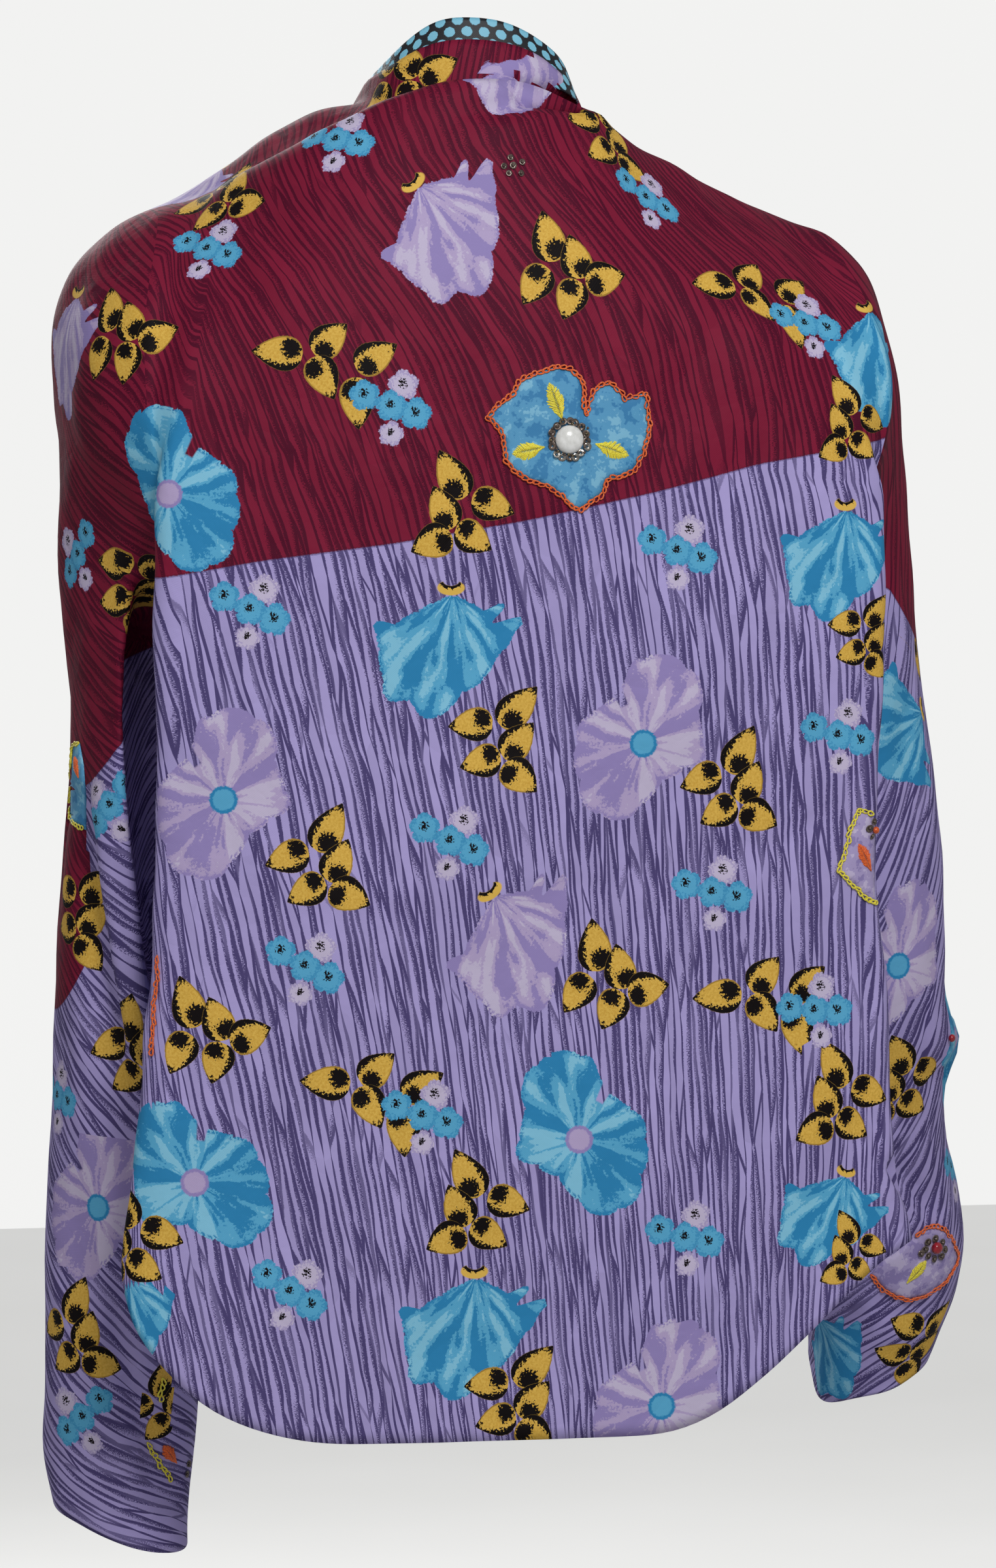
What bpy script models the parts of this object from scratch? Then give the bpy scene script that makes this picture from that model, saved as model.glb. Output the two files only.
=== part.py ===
# Long-sleeved cocoon shrug, hollow, as it hangs on a general figure.
# Lengths in the tables are millimetres. Z is up, the back faces -Y and the left sleeve is at -X.
# The origin is at the nape of the neck, where the wearer carries the garment.

import math

import bpy
import bmesh
from mathutils import Vector

MM = 0.001
WALL = 2.0
SEAM_GAP = 0.3

# A piece that ends square where its seam ends also draws back along the seam.
SQUARE_END = -0.7

# Rows run down the cloth and columns run across it.
ARMHOLE_ROWS = 14
SIDE_ROWS = 13
LAST_ROW = ARMHOLE_ROWS + SIDE_ROWS
WIDEST_ROW = ARMHOLE_ROWS // 2
TURN_COLUMNS = 8
PANEL_COLUMNS = 16
NECK_COLUMNS = 8
BACK_COLUMNS = PANEL_COLUMNS + 2 * TURN_COLUMNS
SHOULDER_COLUMNS = (BACK_COLUMNS - NECK_COLUMNS) // 2
RING_POINTS = 2 * ARMHOLE_ROWS
RINGS_PER_SECTION = 2
COLLAR_FRONT_ROWS = 5
COLLAR_ROWS = 2

# The top of the back, from the left shoulder to the right one: the seam lies in a valley,
# and the cloth rises from it over a soft roll before it falls down the back.
TOP_COLUMNS = ("x", "valley_y", "valley_z", "roll_y", "roll_z")
TOP = (
    (-150, 3, -6, -16, -8),
    (-126, -8, 2, -21, 2.5),
    (-93, -27, 15, -45, 22),
    (-65, -36, 29, -56, 37.5),
    (-50, -39, 37, -61.5, 42.5),
    (-25, -51, 44.5, -66.3, 49.7),
    (0, -54, 46, -67, 52),
    (25, -51, 44, -62, 47.2),
    (50, -39, 37, -50, 41),
    (64, -25, 30, -36, 34),
    (80, -13, 18, -24, 20),
    (110, -2, 4, -12, 4.5),
    (170, 3, -15, -13, -17),
)

# The back below the roll. The fold edges are where its cloth turns in at the sides.
LEVEL_COLUMNS = ("z", "fold_left", "fold_right", "middle_y", "side_y")
LEVELS = (
    (60, -150, 180, -62, -50),
    (20, -154, 184, -84, -66),
    (-40, -159, 187, -97, -78),
    (-120, -161.5, 188.5, -104, -85),
    (-180, -161.5, 188, -106, -88),
    (-240, -163, 184, -107, -89),
    (-300, -164.5, 181.5, -107, -89),
    (-360, -165.5, 186.5, -106, -88),
    (-430, -168.5, 191.5, -105, -88),
    (-475, -175, 195.5, -105, -87),
    (-500, -180, 204, -104, -87),
    (-600, -182, 205, -103, -88),
)
BACK_FLATNESS = 2.4

# The roll swells out most a little below its top, and fades into the back at its reach.
# The cloth rises from the valley steeply at first: parts of the way in y and z.
ROLL_ROWS = (1.5, 5.5)
ROLL_SWELL = 4.5
ROLL_DROP = 9.0
ROLL_REACH = 80.0
VALLEY_RISE = (0.55, 0.72)
FOLD_RADIUS = 8.0
LAST_ARMHOLE_LEVEL = -250.0
HEM_LOWEST = -588.0

# The cloth that turns in at a side, from the fold to the side seam. It lies behind the fold
# by a depth in fold radii, and lifts a little towards the hem.
SIDE_Y = 3.0
TURN_Y = -58.0
TURN_DEPTH = 2.2
TURN_LIFT = 7.0
TURN_START = 0.4
FOLD_LEAD = 20.0
WIDEST_LEVEL = -120.0

# Each sleeve is a tube through rings that turn from the upright armhole to the level cuff.
# A ring has an outer and an inner point, its depth to the back and front, and a sideways
# push and a downward tilt of its back half.
RING_COLUMNS = ("out_x", "out_z", "in_x", "in_z", "mid_y", "back", "front", "push", "tilt")
LEFT_RINGS = (
    (-150, -6, -115, -232, 3, 79, 75, -30, 0),
    (-172, -18, -119, -239, 5, 74, 71, -22, 0),
    (-190, -35, -122, -246, 7, 68, 66, -15, 0),
    (-200, -62, -124, -252, 9, 62, 61, -9, 0),
    (-198, -112, -125, -262, 10, 56, 56, -4, 0),
    (-194.5, -180, -126, -280, 10, 52, 52, 0, 0),
    (-191.5, -240, -126.5, -305, 11, 50, 49, 0, 0),
    (-197, -315, -127, -352, 14, 47, 46, 0, 0),
    (-200, -420, -127, -432, 20, 43, 42, 0, 0),
    (-203.5, -530, -129, -532, 28, 39, 39, 0, 0),
    (-205, -600, -134, -618, 35, 36, 36, 0, 0),
    (-199, -636, -134, -656, 38, 35, 35, 0, 8),
)
RIGHT_RINGS = (
    (170, -15, 124, -232, 3, 79, 75, 41, 0),
    (187, -28, 129, -239, 5, 74, 71, 31, 0),
    (198, -50, 132.5, -246, 7, 68, 66, 19, 0),
    (209, -80, 135, -252, 9, 62, 61, 10, 0),
    (212.5, -128, 137, -262, 10, 56, 56, 5, 0),
    (220, -186, 139, -282, 10, 52, 52, 0, 0),
    (230, -250, 141, -310, 10, 50, 50, 0, 0),
    (235, -320, 143, -360, 14, 48, 48, 0, 0),
    (240, -385, 148, -410, 20, 46, 46, 0, 0),
    (248, -450, 160, -466, 42, 43, 43, 0, 6),
    (264, -515, 178, -528, 68, 40, 40, 0, 14),
    (264, -547, 191, -573, 90, 37, 37, 0, 18),
    (256, -568, 195, -588, 97, 36, 36, 0, 20),
)

# What differs between the two sides.
LEFT = {
    "sign": -1,
    "rings": LEFT_RINGS,
    "fold": "fold_left",
    "fold_hem": -509.0,
    "hem_width": 105.0,
    "hem_powers": (2.0, 0.5),
    "turn_x": -123.0,
    "turn_hem": -486.0,
    "seam_x": -107.0,
    "seam_hem": -472.0,
    "crease_reach": (50.0, 12.0),
    "edge_drop": 0.0,
    "bulge": 0.0,
    "drape": 10.0,
}
RIGHT = {
    "sign": 1,
    "rings": RIGHT_RINGS,
    "fold": "fold_right",
    "fold_hem": -500.0,
    "hem_width": 128.0,
    "hem_powers": (1.8, 1.7),
    "turn_x": 134.0,
    "turn_hem": -478.0,
    "seam_x": 116.0,
    "seam_hem": -466.0,
    "crease_reach": (70.0, 12.0),
    "edge_drop": 9.0,
    "bulge": 20.0,
    "drape": 0.0,
}

# A draped layer of the left sleeve ends in a slanting fold: its edge runs between these points.
DRAPE_TOP = (-196.0, -225.0)
DRAPE_FOOT = (-167.0, -455.0)
DRAPE_EDGE = 9.0
DRAPE_FADE = 45.0

# At the right elbow the cloth stands out in front of the arm.
ELBOW_Z = -418.0
ELBOW_HEIGHT = 20.0
ELBOW_ANGLE = math.radians(-34)
ELBOW_SPREAD = math.radians(26)

# The edge of the left front, from the side of the neck to its foot.
EDGE_COLUMNS = ("row", "x", "y", "z")
EDGE = (
    (0, -50, -39, 37),
    (1, -54, -12, 48),
    (2, -57, 14, 37),
    (3, -59, 36, 20),
    (4, -60, 54, 0),
    (5, -60, 68, -22),
    (7, -60, 84, -68),
    (10, -59, 94, -135),
    (14, -58, 99, -215),
    (20, -60, 100, -305),
    (27, -78, 97, -385),
)

# The cloth of a front just past its shoulder seam, as two handles of its curve, by side.
RIDGE = {-1: ((-125, 6, 7), (-82, -8, 49)), 1: ((122, 10, -4), (80, 2, 17))}
CHEST_FULLNESS = 12.0
CHEST_LIFT = 4.0
SIDE_FULLNESS = 8.0

# Below the armhole a front runs forward from the side seam, then round to its edge.
SIDE_FORWARD = 50.0
SIDE_FALL = 0.1
FRONT_Y = 98.0
FRONT_INSET = 4.0
FRONT_FALL = 0.45

# The collar from the nape to its front ends, column by column: how wide it is on each side,
# and how far it leans in, in degrees from upright.
COLLAR_COLUMNS = ("left", "right", "lean")
COLLAR = (
    (26.6, 26.6, 17),
    (27.1, 25.6, 17),
    (28, 23.5, 17),
    (27.7, 21.4, 17),
    (23.5, 18.3, 17),
    (8.4, 8.4, 17),
    (8.4, 8.4, 24),
    (8.4, 8.4, 36),
    (8.4, 8.4, 50),
    (8, 8, 62),
)
COLLAR_CURL = 1.6
NECK_CENTRE_SHIFT = 0.85

# The lining rises past the collar at the nape and ends with it at the sides of the neck.
LINING_ABOVE = 13.5
LINING_OVERHANG = 1
LINING_ARCH = (1.02, 5, 0.6)

COLOURS = {
    "burgundy": (0.27, 0.055, 0.095),
    "lavender": (0.30, 0.24, 0.50),
    "lining": (0.02, 0.04, 0.07),
}


# Numbers and curves

def mix(start, end, part):
    return start + (end - start) * part


def smooth(start, end, value):
    part = min(max((value - start) / (end - start), 0.0), 1.0)
    return part * part * (3 - 2 * part)


def spline(before, start, end, after, part):
    """Point between start and end on a smooth curve through all four."""
    return 0.5 * (
        2 * start
        + (end - before) * part
        + (2 * before - 5 * start + 4 * end - after) * part ** 2
        + (3 * start - before - 3 * end + after) * part ** 3
    )


def bezier(start, first, second, end, part):
    rest = 1 - part
    return (
        start * rest ** 3
        + first * (3 * rest * rest * part)
        + second * (3 * rest * part * part)
        + end * part ** 3
    )


def read_row(table, names, place):
    """Named values at a fractional row of a table, on smooth curves through its rows."""
    index = min(int(place), len(table) - 2)
    part = place - index
    before = table[max(index - 1, 0)]
    after = table[min(index + 2, len(table) - 1)]
    values = (
        spline(before[i], table[index][i], table[index + 1][i], after[i], part)
        for i in range(len(names))
    )
    return dict(zip(names, values))


def read_at(table, names, value):
    """Named values where the table's first column reaches a value."""
    rising = table[-1][0] > table[0][0]
    for index in range(len(table) - 1):
        here, following = table[index][0], table[index + 1][0]
        if (value <= following) if rising else (value >= following):
            part = (value - here) / (following - here)
            return read_row(table, names, index + max(part, 0.0))
    return read_row(table, names, len(table) - 1)


# Sleeves and armholes

def ring_point(rings, place, step, side):
    """Point of a sleeve's ring. Steps go from the outer point over the back to the inner one."""
    ring = read_row(rings, RING_COLUMNS, place)
    angle = 2 * math.pi * step / RING_POINTS
    outward, across = math.cos(angle), math.sin(angle)
    middle_x = (ring["out_x"] + ring["in_x"]) / 2
    middle_z = (ring["out_z"] + ring["in_z"]) / 2
    depth = ring["back"] if across > 0 else ring["front"]
    point = Vector((
        middle_x + outward * (ring["out_x"] - middle_x) + across ** 2 * ring["push"],
        ring["mid_y"] - across * depth,
        middle_z + outward * (ring["out_z"] - middle_z) - across * ring["tilt"],
    ))
    if side["drape"]:
        point.y -= side["drape"] * drape_weight(point) * smooth(0, 0.6, across) * smooth(0, 4, place)
    if side["bulge"]:
        around = (math.remainder(angle, 2 * math.pi) - ELBOW_ANGLE) / ELBOW_SPREAD
        level = (point.z - ELBOW_Z) / ELBOW_HEIGHT
        point.x += side["sign"] * side["bulge"] * math.exp(-around ** 2 - level ** 2)
    return point


def drape_weight(point):
    """One on the draped layer, and zero on the arm that comes out from under it."""
    fall = (point.z - DRAPE_TOP[1]) / (DRAPE_FOOT[1] - DRAPE_TOP[1])
    edge_x = mix(DRAPE_TOP[0], DRAPE_FOOT[0], fall)
    inside = smooth(0, DRAPE_EDGE, point.x - edge_x)
    begins = smooth(DRAPE_TOP[1] + DRAPE_FADE, DRAPE_TOP[1], point.z)
    ends = smooth(DRAPE_FOOT[1] - DRAPE_FADE, DRAPE_FOOT[1], point.z)
    return inside * begins * ends


def armhole_back(side, row):
    return ring_point(side["rings"], 0, row, side)


def armhole_front(side, row):
    return ring_point(side["rings"], 0, RING_POINTS - row, side)


def side_seam(side, row):
    """The seam between back and front: half an armhole, then down to the hem."""
    if row <= ARMHOLE_ROWS:
        return armhole_back(side, row)
    under = armhole_back(side, ARMHOLE_ROWS)
    fall = (row - ARMHOLE_ROWS) / SIDE_ROWS
    return Vector((
        mix(under.x, side["seam_x"], smooth(0, 0.5, fall)),
        SIDE_Y,
        mix(under.z, side["seam_hem"], fall),
    ))


# Back

def back_depth(x, z):
    level = read_at(LEVELS, LEVEL_COLUMNS, z)
    half = level["fold_right"] if x > 0 else -level["fold_left"]
    away = min(abs(x) / half, 1.0) ** BACK_FLATNESS
    return mix(level["middle_y"], level["side_y"], away)


def hem_level(x):
    """The hem is straight across the back and its corners are round."""
    side = RIGHT if x > 0 else LEFT
    edge = read_at(LEVELS, LEVEL_COLUMNS, side["fold_hem"])[side["fold"]]
    inside = abs(edge) - abs(x)
    part = min(max(1 - inside / side["hem_width"], 0.0), 1.0)
    power, fall = side["hem_powers"]
    return mix(HEM_LOWEST, side["fold_hem"], 1 - (1 - part ** power) ** fall)


def row_fall(row):
    """How far a row has come from the roll to the underarm level."""
    rings = LEFT["rings"]
    start = ring_point(rings, 0, 2, LEFT).z
    reached = min(row, WIDEST_ROW)
    fall = (start - ring_point(rings, 0, reached, LEFT).z) / (start - LAST_ARMHOLE_LEVEL)
    if row > WIDEST_ROW:
        fall = mix(fall, 1.0, (row - WIDEST_ROW) / (ARMHOLE_ROWS - WIDEST_ROW))
    return fall


def back_surface(x, row):
    """The back between its fold edges, by its place across and its row."""
    top = read_at(TOP, TOP_COLUMNS, x)
    if row == 0:
        return Vector((x, top["valley_y"], top["valley_z"]))
    if row == 1:
        y = mix(top["valley_y"], top["roll_y"], VALLEY_RISE[0])
        return Vector((x, y, mix(top["valley_z"], top["roll_z"], VALLEY_RISE[1])))
    if row <= ARMHOLE_ROWS:
        z = mix(top["roll_z"], LAST_ARMHOLE_LEVEL, row_fall(row) * smooth(*ROLL_ROWS, row))
        drop = top["roll_z"] - z
        above = 1 - min(drop / ROLL_REACH, 1.0)
        swell = ROLL_SWELL * drop / ROLL_DROP * math.exp(1 - drop / ROLL_DROP)
        return Vector((x, mix(back_depth(x, z), top["roll_y"], above ** 2) - swell, z))
    z = mix(LAST_ARMHOLE_LEVEL, hem_level(x), (row - ARMHOLE_ROWS) / SIDE_ROWS)
    return Vector((x, back_depth(x, z), z))


def fold_radius(row):
    return FOLD_RADIUS * smooth(WIDEST_ROW - 2, WIDEST_ROW + 3, row)


def fold_inset(side, row):
    """Where the flat of the back ends at a side, as an x value."""
    if row <= WIDEST_ROW:
        reach = mix(*side["crease_reach"], row / WIDEST_ROW)
        return armhole_back(side, row).x - side["sign"] * reach
    if row <= ARMHOLE_ROWS:
        z = mix(WIDEST_LEVEL, LAST_ARMHOLE_LEVEL, (row - WIDEST_ROW) / (ARMHOLE_ROWS - WIDEST_ROW))
    else:
        fall = (row - ARMHOLE_ROWS) / SIDE_ROWS
        z = mix(LAST_ARMHOLE_LEVEL, side["fold_hem"], fall)
    level = read_at(LEVELS, LEVEL_COLUMNS, z)
    return level[side["fold"]] - side["sign"] * fold_radius(row)


def turned_in(side, row):
    """Columns from the seam, along the turned-in cloth and round the fold, to the back."""
    inset = fold_inset(side, row)
    outer = back_surface(inset, row)
    seam = side_seam(side, row)
    if row <= WIDEST_ROW:
        miss = seam - back_surface(seam.x, row)
        columns = []
        for column in range(TURN_COLUMNS + 1):
            part = column / TURN_COLUMNS
            base = back_surface(mix(seam.x, inset, part), row)
            columns.append(base + miss * (1 - smooth(0, 1, part)))
        return columns
    sign = side["sign"]
    fall = max(row - ARMHOLE_ROWS, 0) / SIDE_ROWS
    lift = mix(LAST_ARMHOLE_LEVEL, side["fold_hem"], fall) - outer.z if fall else 0.0
    radius = fold_radius(row)
    edge = outer + Vector((sign * radius, radius, lift))
    inner = outer + Vector((0, TURN_DEPTH * radius, lift + TURN_LIFT * fall))
    corner = Vector((side["turn_x"], TURN_Y, mix(LAST_ARMHOLE_LEVEL, side["turn_hem"], fall)))
    inner = edge.lerp(seam, TURN_START).lerp(inner, smooth(WIDEST_ROW, WIDEST_ROW + 4, row))
    corner = inner.lerp(seam, 0.5).lerp(corner, smooth(WIDEST_ROW + 1, ARMHOLE_ROWS, row))
    within = back_surface(inset - sign * FOLD_LEAD, row)
    stops = [seam * 2 - corner, seam, corner, inner, edge, outer, within]
    columns = []
    per_stop = TURN_COLUMNS // 4
    for stop in range(1, 5):
        for step in range(per_stop):
            columns.append(spline(*stops[stop - 1:stop + 3], step / per_stop))
    columns.append(outer)
    return columns


def back_row(row):
    left = turned_in(LEFT, row)
    right = turned_in(RIGHT, row)
    start, end = fold_inset(LEFT, row), fold_inset(RIGHT, row)
    panel = [
        back_surface(mix(start, end, column / PANEL_COLUMNS), row)
        for column in range(1, PANEL_COLUMNS)
    ]
    return left + panel + right[::-1]


# Fronts

def front_edge(side, row):
    edge = read_at(EDGE, EDGE_COLUMNS, row)
    if row == 0:
        column = SHOULDER_COLUMNS if side is LEFT else BACK_COLUMNS - SHOULDER_COLUMNS
        return back_row(0)[column]
    drop = side["edge_drop"] * (1 - smooth(1, 6, row))
    return Vector((-side["sign"] * edge["x"], edge["y"], edge["z"] - drop))


def front_row(side, row):
    """A row of a front, from the armhole or side seam to the open edge."""
    if row == 0:
        columns = back_row(0)
        if side is RIGHT:
            columns.reverse()
        return columns[:SHOULDER_COLUMNS + 1]
    start = armhole_front(side, row) if row <= ARMHOLE_ROWS else side_seam(side, row)
    end = front_edge(side, row)
    sign = side["sign"]
    third = (end - start) / 3
    full = CHEST_FULLNESS * smooth(0, 5, row)
    first = start + third + Vector((0, full, CHEST_LIFT))
    second = end - third + Vector((0, full * 0.6, CHEST_LIFT))
    if row == 1:
        first, second = (Vector(point) for point in RIDGE[sign])
    below = smooth(WIDEST_ROW, ARMHOLE_ROWS, row)
    full = SIDE_FULLNESS * smooth(ARMHOLE_ROWS, ARMHOLE_ROWS + 6, row)
    round_side = start + Vector((sign * full, SIDE_FORWARD, (end.z - start.z) * SIDE_FALL))
    front_z = mix(start.z, end.z, FRONT_FALL)
    round_front = Vector((start.x - sign * FRONT_INSET, FRONT_Y, front_z))
    first = first.lerp(round_side, below)
    second = second.lerp(round_front, below)
    return [
        bezier(start, first, second, end, column / SHOULDER_COLUMNS)
        for column in range(SHOULDER_COLUMNS + 1)
    ]


# Collar and lining

def neck_seam():
    """The collar's seam, from the left front over the nape to the right front."""
    left = [front_edge(LEFT, row) for row in range(COLLAR_FRONT_ROWS, 0, -1)]
    nape = back_row(0)[SHOULDER_COLUMNS:BACK_COLUMNS - SHOULDER_COLUMNS + 1]
    right = [front_edge(RIGHT, row) for row in range(1, COLLAR_FRONT_ROWS + 1)]
    return left + nape + right


def collar_rows():
    """Rows from the seam up to the collar's edge, curling in over the neck."""
    seam = neck_seam()
    rows = [[] for _ in range(COLLAR_ROWS + 1)]
    for column, point in enumerate(seam):
        from_nape = column - NECK_COLUMNS // 2 - COLLAR_FRONT_ROWS
        shape = dict(zip(COLLAR_COLUMNS, COLLAR[abs(from_nape)]))
        width = shape["right" if from_nape > 0 else "left"]
        lean = math.radians(shape["lean"])
        inward = Vector((-point.x, max(point.y, 0) * NECK_CENTRE_SHIFT - point.y, 0)).normalized()
        for row, line in enumerate(rows):
            rise = row / COLLAR_ROWS
            up = Vector((0, 0, width * math.cos(lean) * rise))
            line.append(point + up + inward * width * math.sin(lean) * rise ** COLLAR_CURL)
    return rows


# Meshes

def sew(patches):
    """One mesh from named grids of points, with the points on shared seams made one."""
    mesh = bmesh.new()
    piece = mesh.faces.layers.int.new("piece")
    for number, rows in enumerate(patches):
        grid = [[mesh.verts.new(point) for point in row] for row in rows]
        for upper, lower in zip(grid, grid[1:]):
            for column in range(len(upper) - 1):
                corners = (upper[column], lower[column], lower[column + 1], upper[column + 1])
                mesh.faces.new(corners)[piece] = number
    bmesh.ops.remove_doubles(mesh, verts=mesh.verts, dist=0.01)
    bmesh.ops.triangulate(mesh, faces=mesh.faces, quad_method="SHORT_EDGE")
    mesh.verts.index_update()
    bmesh.ops.recalc_face_normals(mesh, faces=mesh.faces)
    if sum(face.normal.dot(face.calc_center_median()) for face in mesh.faces) < 0:
        bmesh.ops.reverse_faces(mesh, faces=mesh.faces)
    mesh.normal_update()
    return mesh, piece


def seam_inset(vert, piece, number):
    """How a point of one piece draws back from its seams, half the gap from each."""
    aways, seams, free_edges = [], [], []
    for edge in vert.link_edges:
        own = [face for face in edge.link_faces if face[piece] == number]
        if len(own) != 1:
            continue
        along = (edge.other_vert(vert).co - vert.co).normalized()
        if len(edge.link_faces) == 1:
            free_edges.append(along)
            continue
        away = along.cross(vert.normal).normalized()
        if away.dot(own[0].calc_center_median() - vert.co) < 0:
            away.negate()
        aways.append(away)
        seams.append(along)
    if not aways:
        return Vector()
    total = sum(aways, Vector())
    if len(aways) == 2:
        total /= max(1 + aways[0].dot(aways[1]), 0.5)
    elif free_edges and free_edges[0].dot(seams[0]) > SQUARE_END:
        total += seams[0] * 2
    return total * SEAM_GAP / 2


def wall_mesh(garment, piece, number, name):
    """Closed wall of one piece. Both faces follow the whole garment's normals."""
    faces = [face for face in garment.faces if face[piece] == number]
    verts = sorted({vert for face in faces for vert in face.verts}, key=lambda vert: vert.index)
    wall = bmesh.new()
    outer, inner = {}, {}
    for vert in verts:
        place = vert.co + seam_inset(vert, piece, number)
        outer[vert] = wall.verts.new((place + vert.normal * WALL / 2) * MM)
        inner[vert] = wall.verts.new((place - vert.normal * WALL / 2) * MM)
    for face in faces:
        wall.faces.new([outer[vert] for vert in face.verts])
        wall.faces.new([inner[vert] for vert in reversed(face.verts)])
        for loop in face.loops:
            own = [other for other in loop.edge.link_faces if other[piece] == number]
            if len(own) == 1:
                start, end = loop.vert, loop.link_loop_next.vert
                rim = (outer[end], outer[start], inner[start], inner[end])
                turn = 0 if start.index < end.index else 1
                for corners in ((0, 1, 2), (0, 2, 3)):
                    wall.faces.new([rim[(corner + turn) % 4] for corner in corners])
    mesh = bpy.data.meshes.new(name)
    wall.to_mesh(mesh)
    wall.free()
    mesh.shade_smooth()
    mesh.set_sharp_from_angle(angle=math.radians(50))
    return mesh


def cloth_material(name, colour, roughness):
    material = bpy.data.materials.new(name)
    material.use_nodes = True
    shader = material.node_tree.nodes["Principled BSDF"]
    shader.inputs["Base Color"].default_value = (*colour, 1)
    shader.inputs["Roughness"].default_value = roughness
    shader.inputs["Metallic"].default_value = 0
    return material


def add_piece(collection, mesh, material):
    piece = bpy.data.objects.new(mesh.name, mesh)
    mesh.materials.append(material)
    collection.objects.link(piece)


def lining_patch(garment):
    """The lining follows the collar's points, moved in towards the neck, and rises past its edge."""
    normals = {}
    for vert in garment.verts:
        normals[tuple(round(value, 2) for value in vert.co)] = vert.normal
    first = COLLAR_FRONT_ROWS - LINING_OVERHANG
    last = COLLAR_FRONT_ROWS + NECK_COLUMNS + LINING_OVERHANG
    patch = []
    for row in collar_rows()[1:]:
        line = []
        for point in row[first:last + 1]:
            normal = normals[tuple(round(value, 2) for value in point)]
            line.append(point - normal * (WALL + SEAM_GAP))
        patch.append(line)
    upper = []
    for column, point in enumerate(patch[-1]):
        across = 2 * column / (last - first) - 1
        height = LINING_ABOVE * (LINING_ARCH[0] - abs(across) ** LINING_ARCH[1]) ** LINING_ARCH[2]
        upper.append(point + (point - patch[-2][column]).normalized() * height)
    patch.append(upper)
    return patch


def build():
    for thing in list(bpy.data.objects):
        bpy.data.objects.remove(thing, do_unlink=True)
    collection = bpy.data.collections.new("shrug")
    bpy.context.scene.collection.children.link(collection)

    patches = {"back": [back_row(row) for row in range(LAST_ROW + 1)]}
    for label, side in (("left", LEFT), ("right", RIGHT)):
        ring_count = (len(side["rings"]) - 1) * RINGS_PER_SECTION
        patches["sleeve_" + label] = [
            [
                ring_point(side["rings"], ring / RINGS_PER_SECTION, step, side)
                for step in range(RING_POINTS + 1)
            ]
            for ring in range(ring_count + 1)
        ]
        patches["front_" + label] = [front_row(side, row) for row in range(LAST_ROW + 1)]
    patches["collar"] = collar_rows()

    burgundy = cloth_material("burgundy print", COLOURS["burgundy"], 0.55)
    lavender = cloth_material("lavender print", COLOURS["lavender"], 0.55)
    dotted = cloth_material("dotted lining", COLOURS["lining"], 0.5)
    materials = {"back": lavender, "sleeve_left": lavender, "sleeve_right": lavender}

    garment, piece = sew(patches.values())
    for number, name in enumerate(patches):
        mesh = wall_mesh(garment, piece, number, name)
        add_piece(collection, mesh, materials.get(name, burgundy))
    lining, lining_piece = sew([lining_patch(garment)])
    add_piece(collection, wall_mesh(lining, lining_piece, 0, "neck_lining"), dotted)
    garment.free()
    lining.free()


build()
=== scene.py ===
# Cocoon shrug of printed silk with sewn-on flowers, seen from behind as it hangs on a wearer.
import heapq
import math
import random

import bpy
import bmesh
import numpy as np
from mathutils import Matrix, Vector
from mathutils.bvhtree import BVHTree
from mathutils.geometry import delaunay_2d_cdt


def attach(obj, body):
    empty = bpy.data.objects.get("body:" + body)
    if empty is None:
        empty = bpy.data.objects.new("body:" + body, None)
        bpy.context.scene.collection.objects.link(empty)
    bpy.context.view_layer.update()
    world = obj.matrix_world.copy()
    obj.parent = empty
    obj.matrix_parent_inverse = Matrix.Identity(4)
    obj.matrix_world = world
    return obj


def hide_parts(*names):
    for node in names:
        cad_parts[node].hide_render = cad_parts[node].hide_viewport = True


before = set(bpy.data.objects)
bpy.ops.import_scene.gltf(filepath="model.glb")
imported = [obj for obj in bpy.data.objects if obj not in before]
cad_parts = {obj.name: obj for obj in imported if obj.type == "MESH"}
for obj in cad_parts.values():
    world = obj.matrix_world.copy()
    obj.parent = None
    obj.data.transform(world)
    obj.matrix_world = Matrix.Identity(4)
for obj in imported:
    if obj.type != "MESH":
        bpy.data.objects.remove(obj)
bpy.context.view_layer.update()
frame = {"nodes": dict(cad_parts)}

mm = 0.001
scene = bpy.context.scene
print("frame loaded")


# Numbers and curves

def mix(start, end, part):
    return start + (end - start) * part


def smooth(start, end, value):
    part = np.clip((value - start) / (end - start), 0, 1)
    return part * part * (3 - 2 * part)


def spline(before, start, end, after, part):
    return 0.5 * (2 * start + (end - before) * part
                  + (2 * before - 5 * start + 4 * end - after) * part ** 2
                  + (3 * start - before - 3 * end + after) * part ** 3)


def bezier(start, first, second, end, part):
    rest = 1 - part
    return (start * rest ** 3 + first * (3 * rest * rest * part)
            + second * (3 * rest * part * part) + end * part ** 3)


def readRow(table, names, place):
    index = min(int(place), len(table) - 2)
    rows = [table[max(index - 1, 0)], table[index], table[index + 1], table[min(index + 2, len(table) - 1)]]
    return {name: spline(*[row[i] for row in rows], place - index) for i, name in enumerate(names)}


def readAt(table, names, value):
    rising = table[-1][0] > table[0][0]
    for index in range(len(table) - 1):
        here, following = table[index][0], table[index + 1][0]
        if (value <= following) if rising else (value >= following):
            return readRow(table, names, index + max((value - here) / (following - here), 0))
    return readRow(table, names, len(table) - 1)


# Shape of the cloth: the solids' own sections, in millimetres

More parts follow.
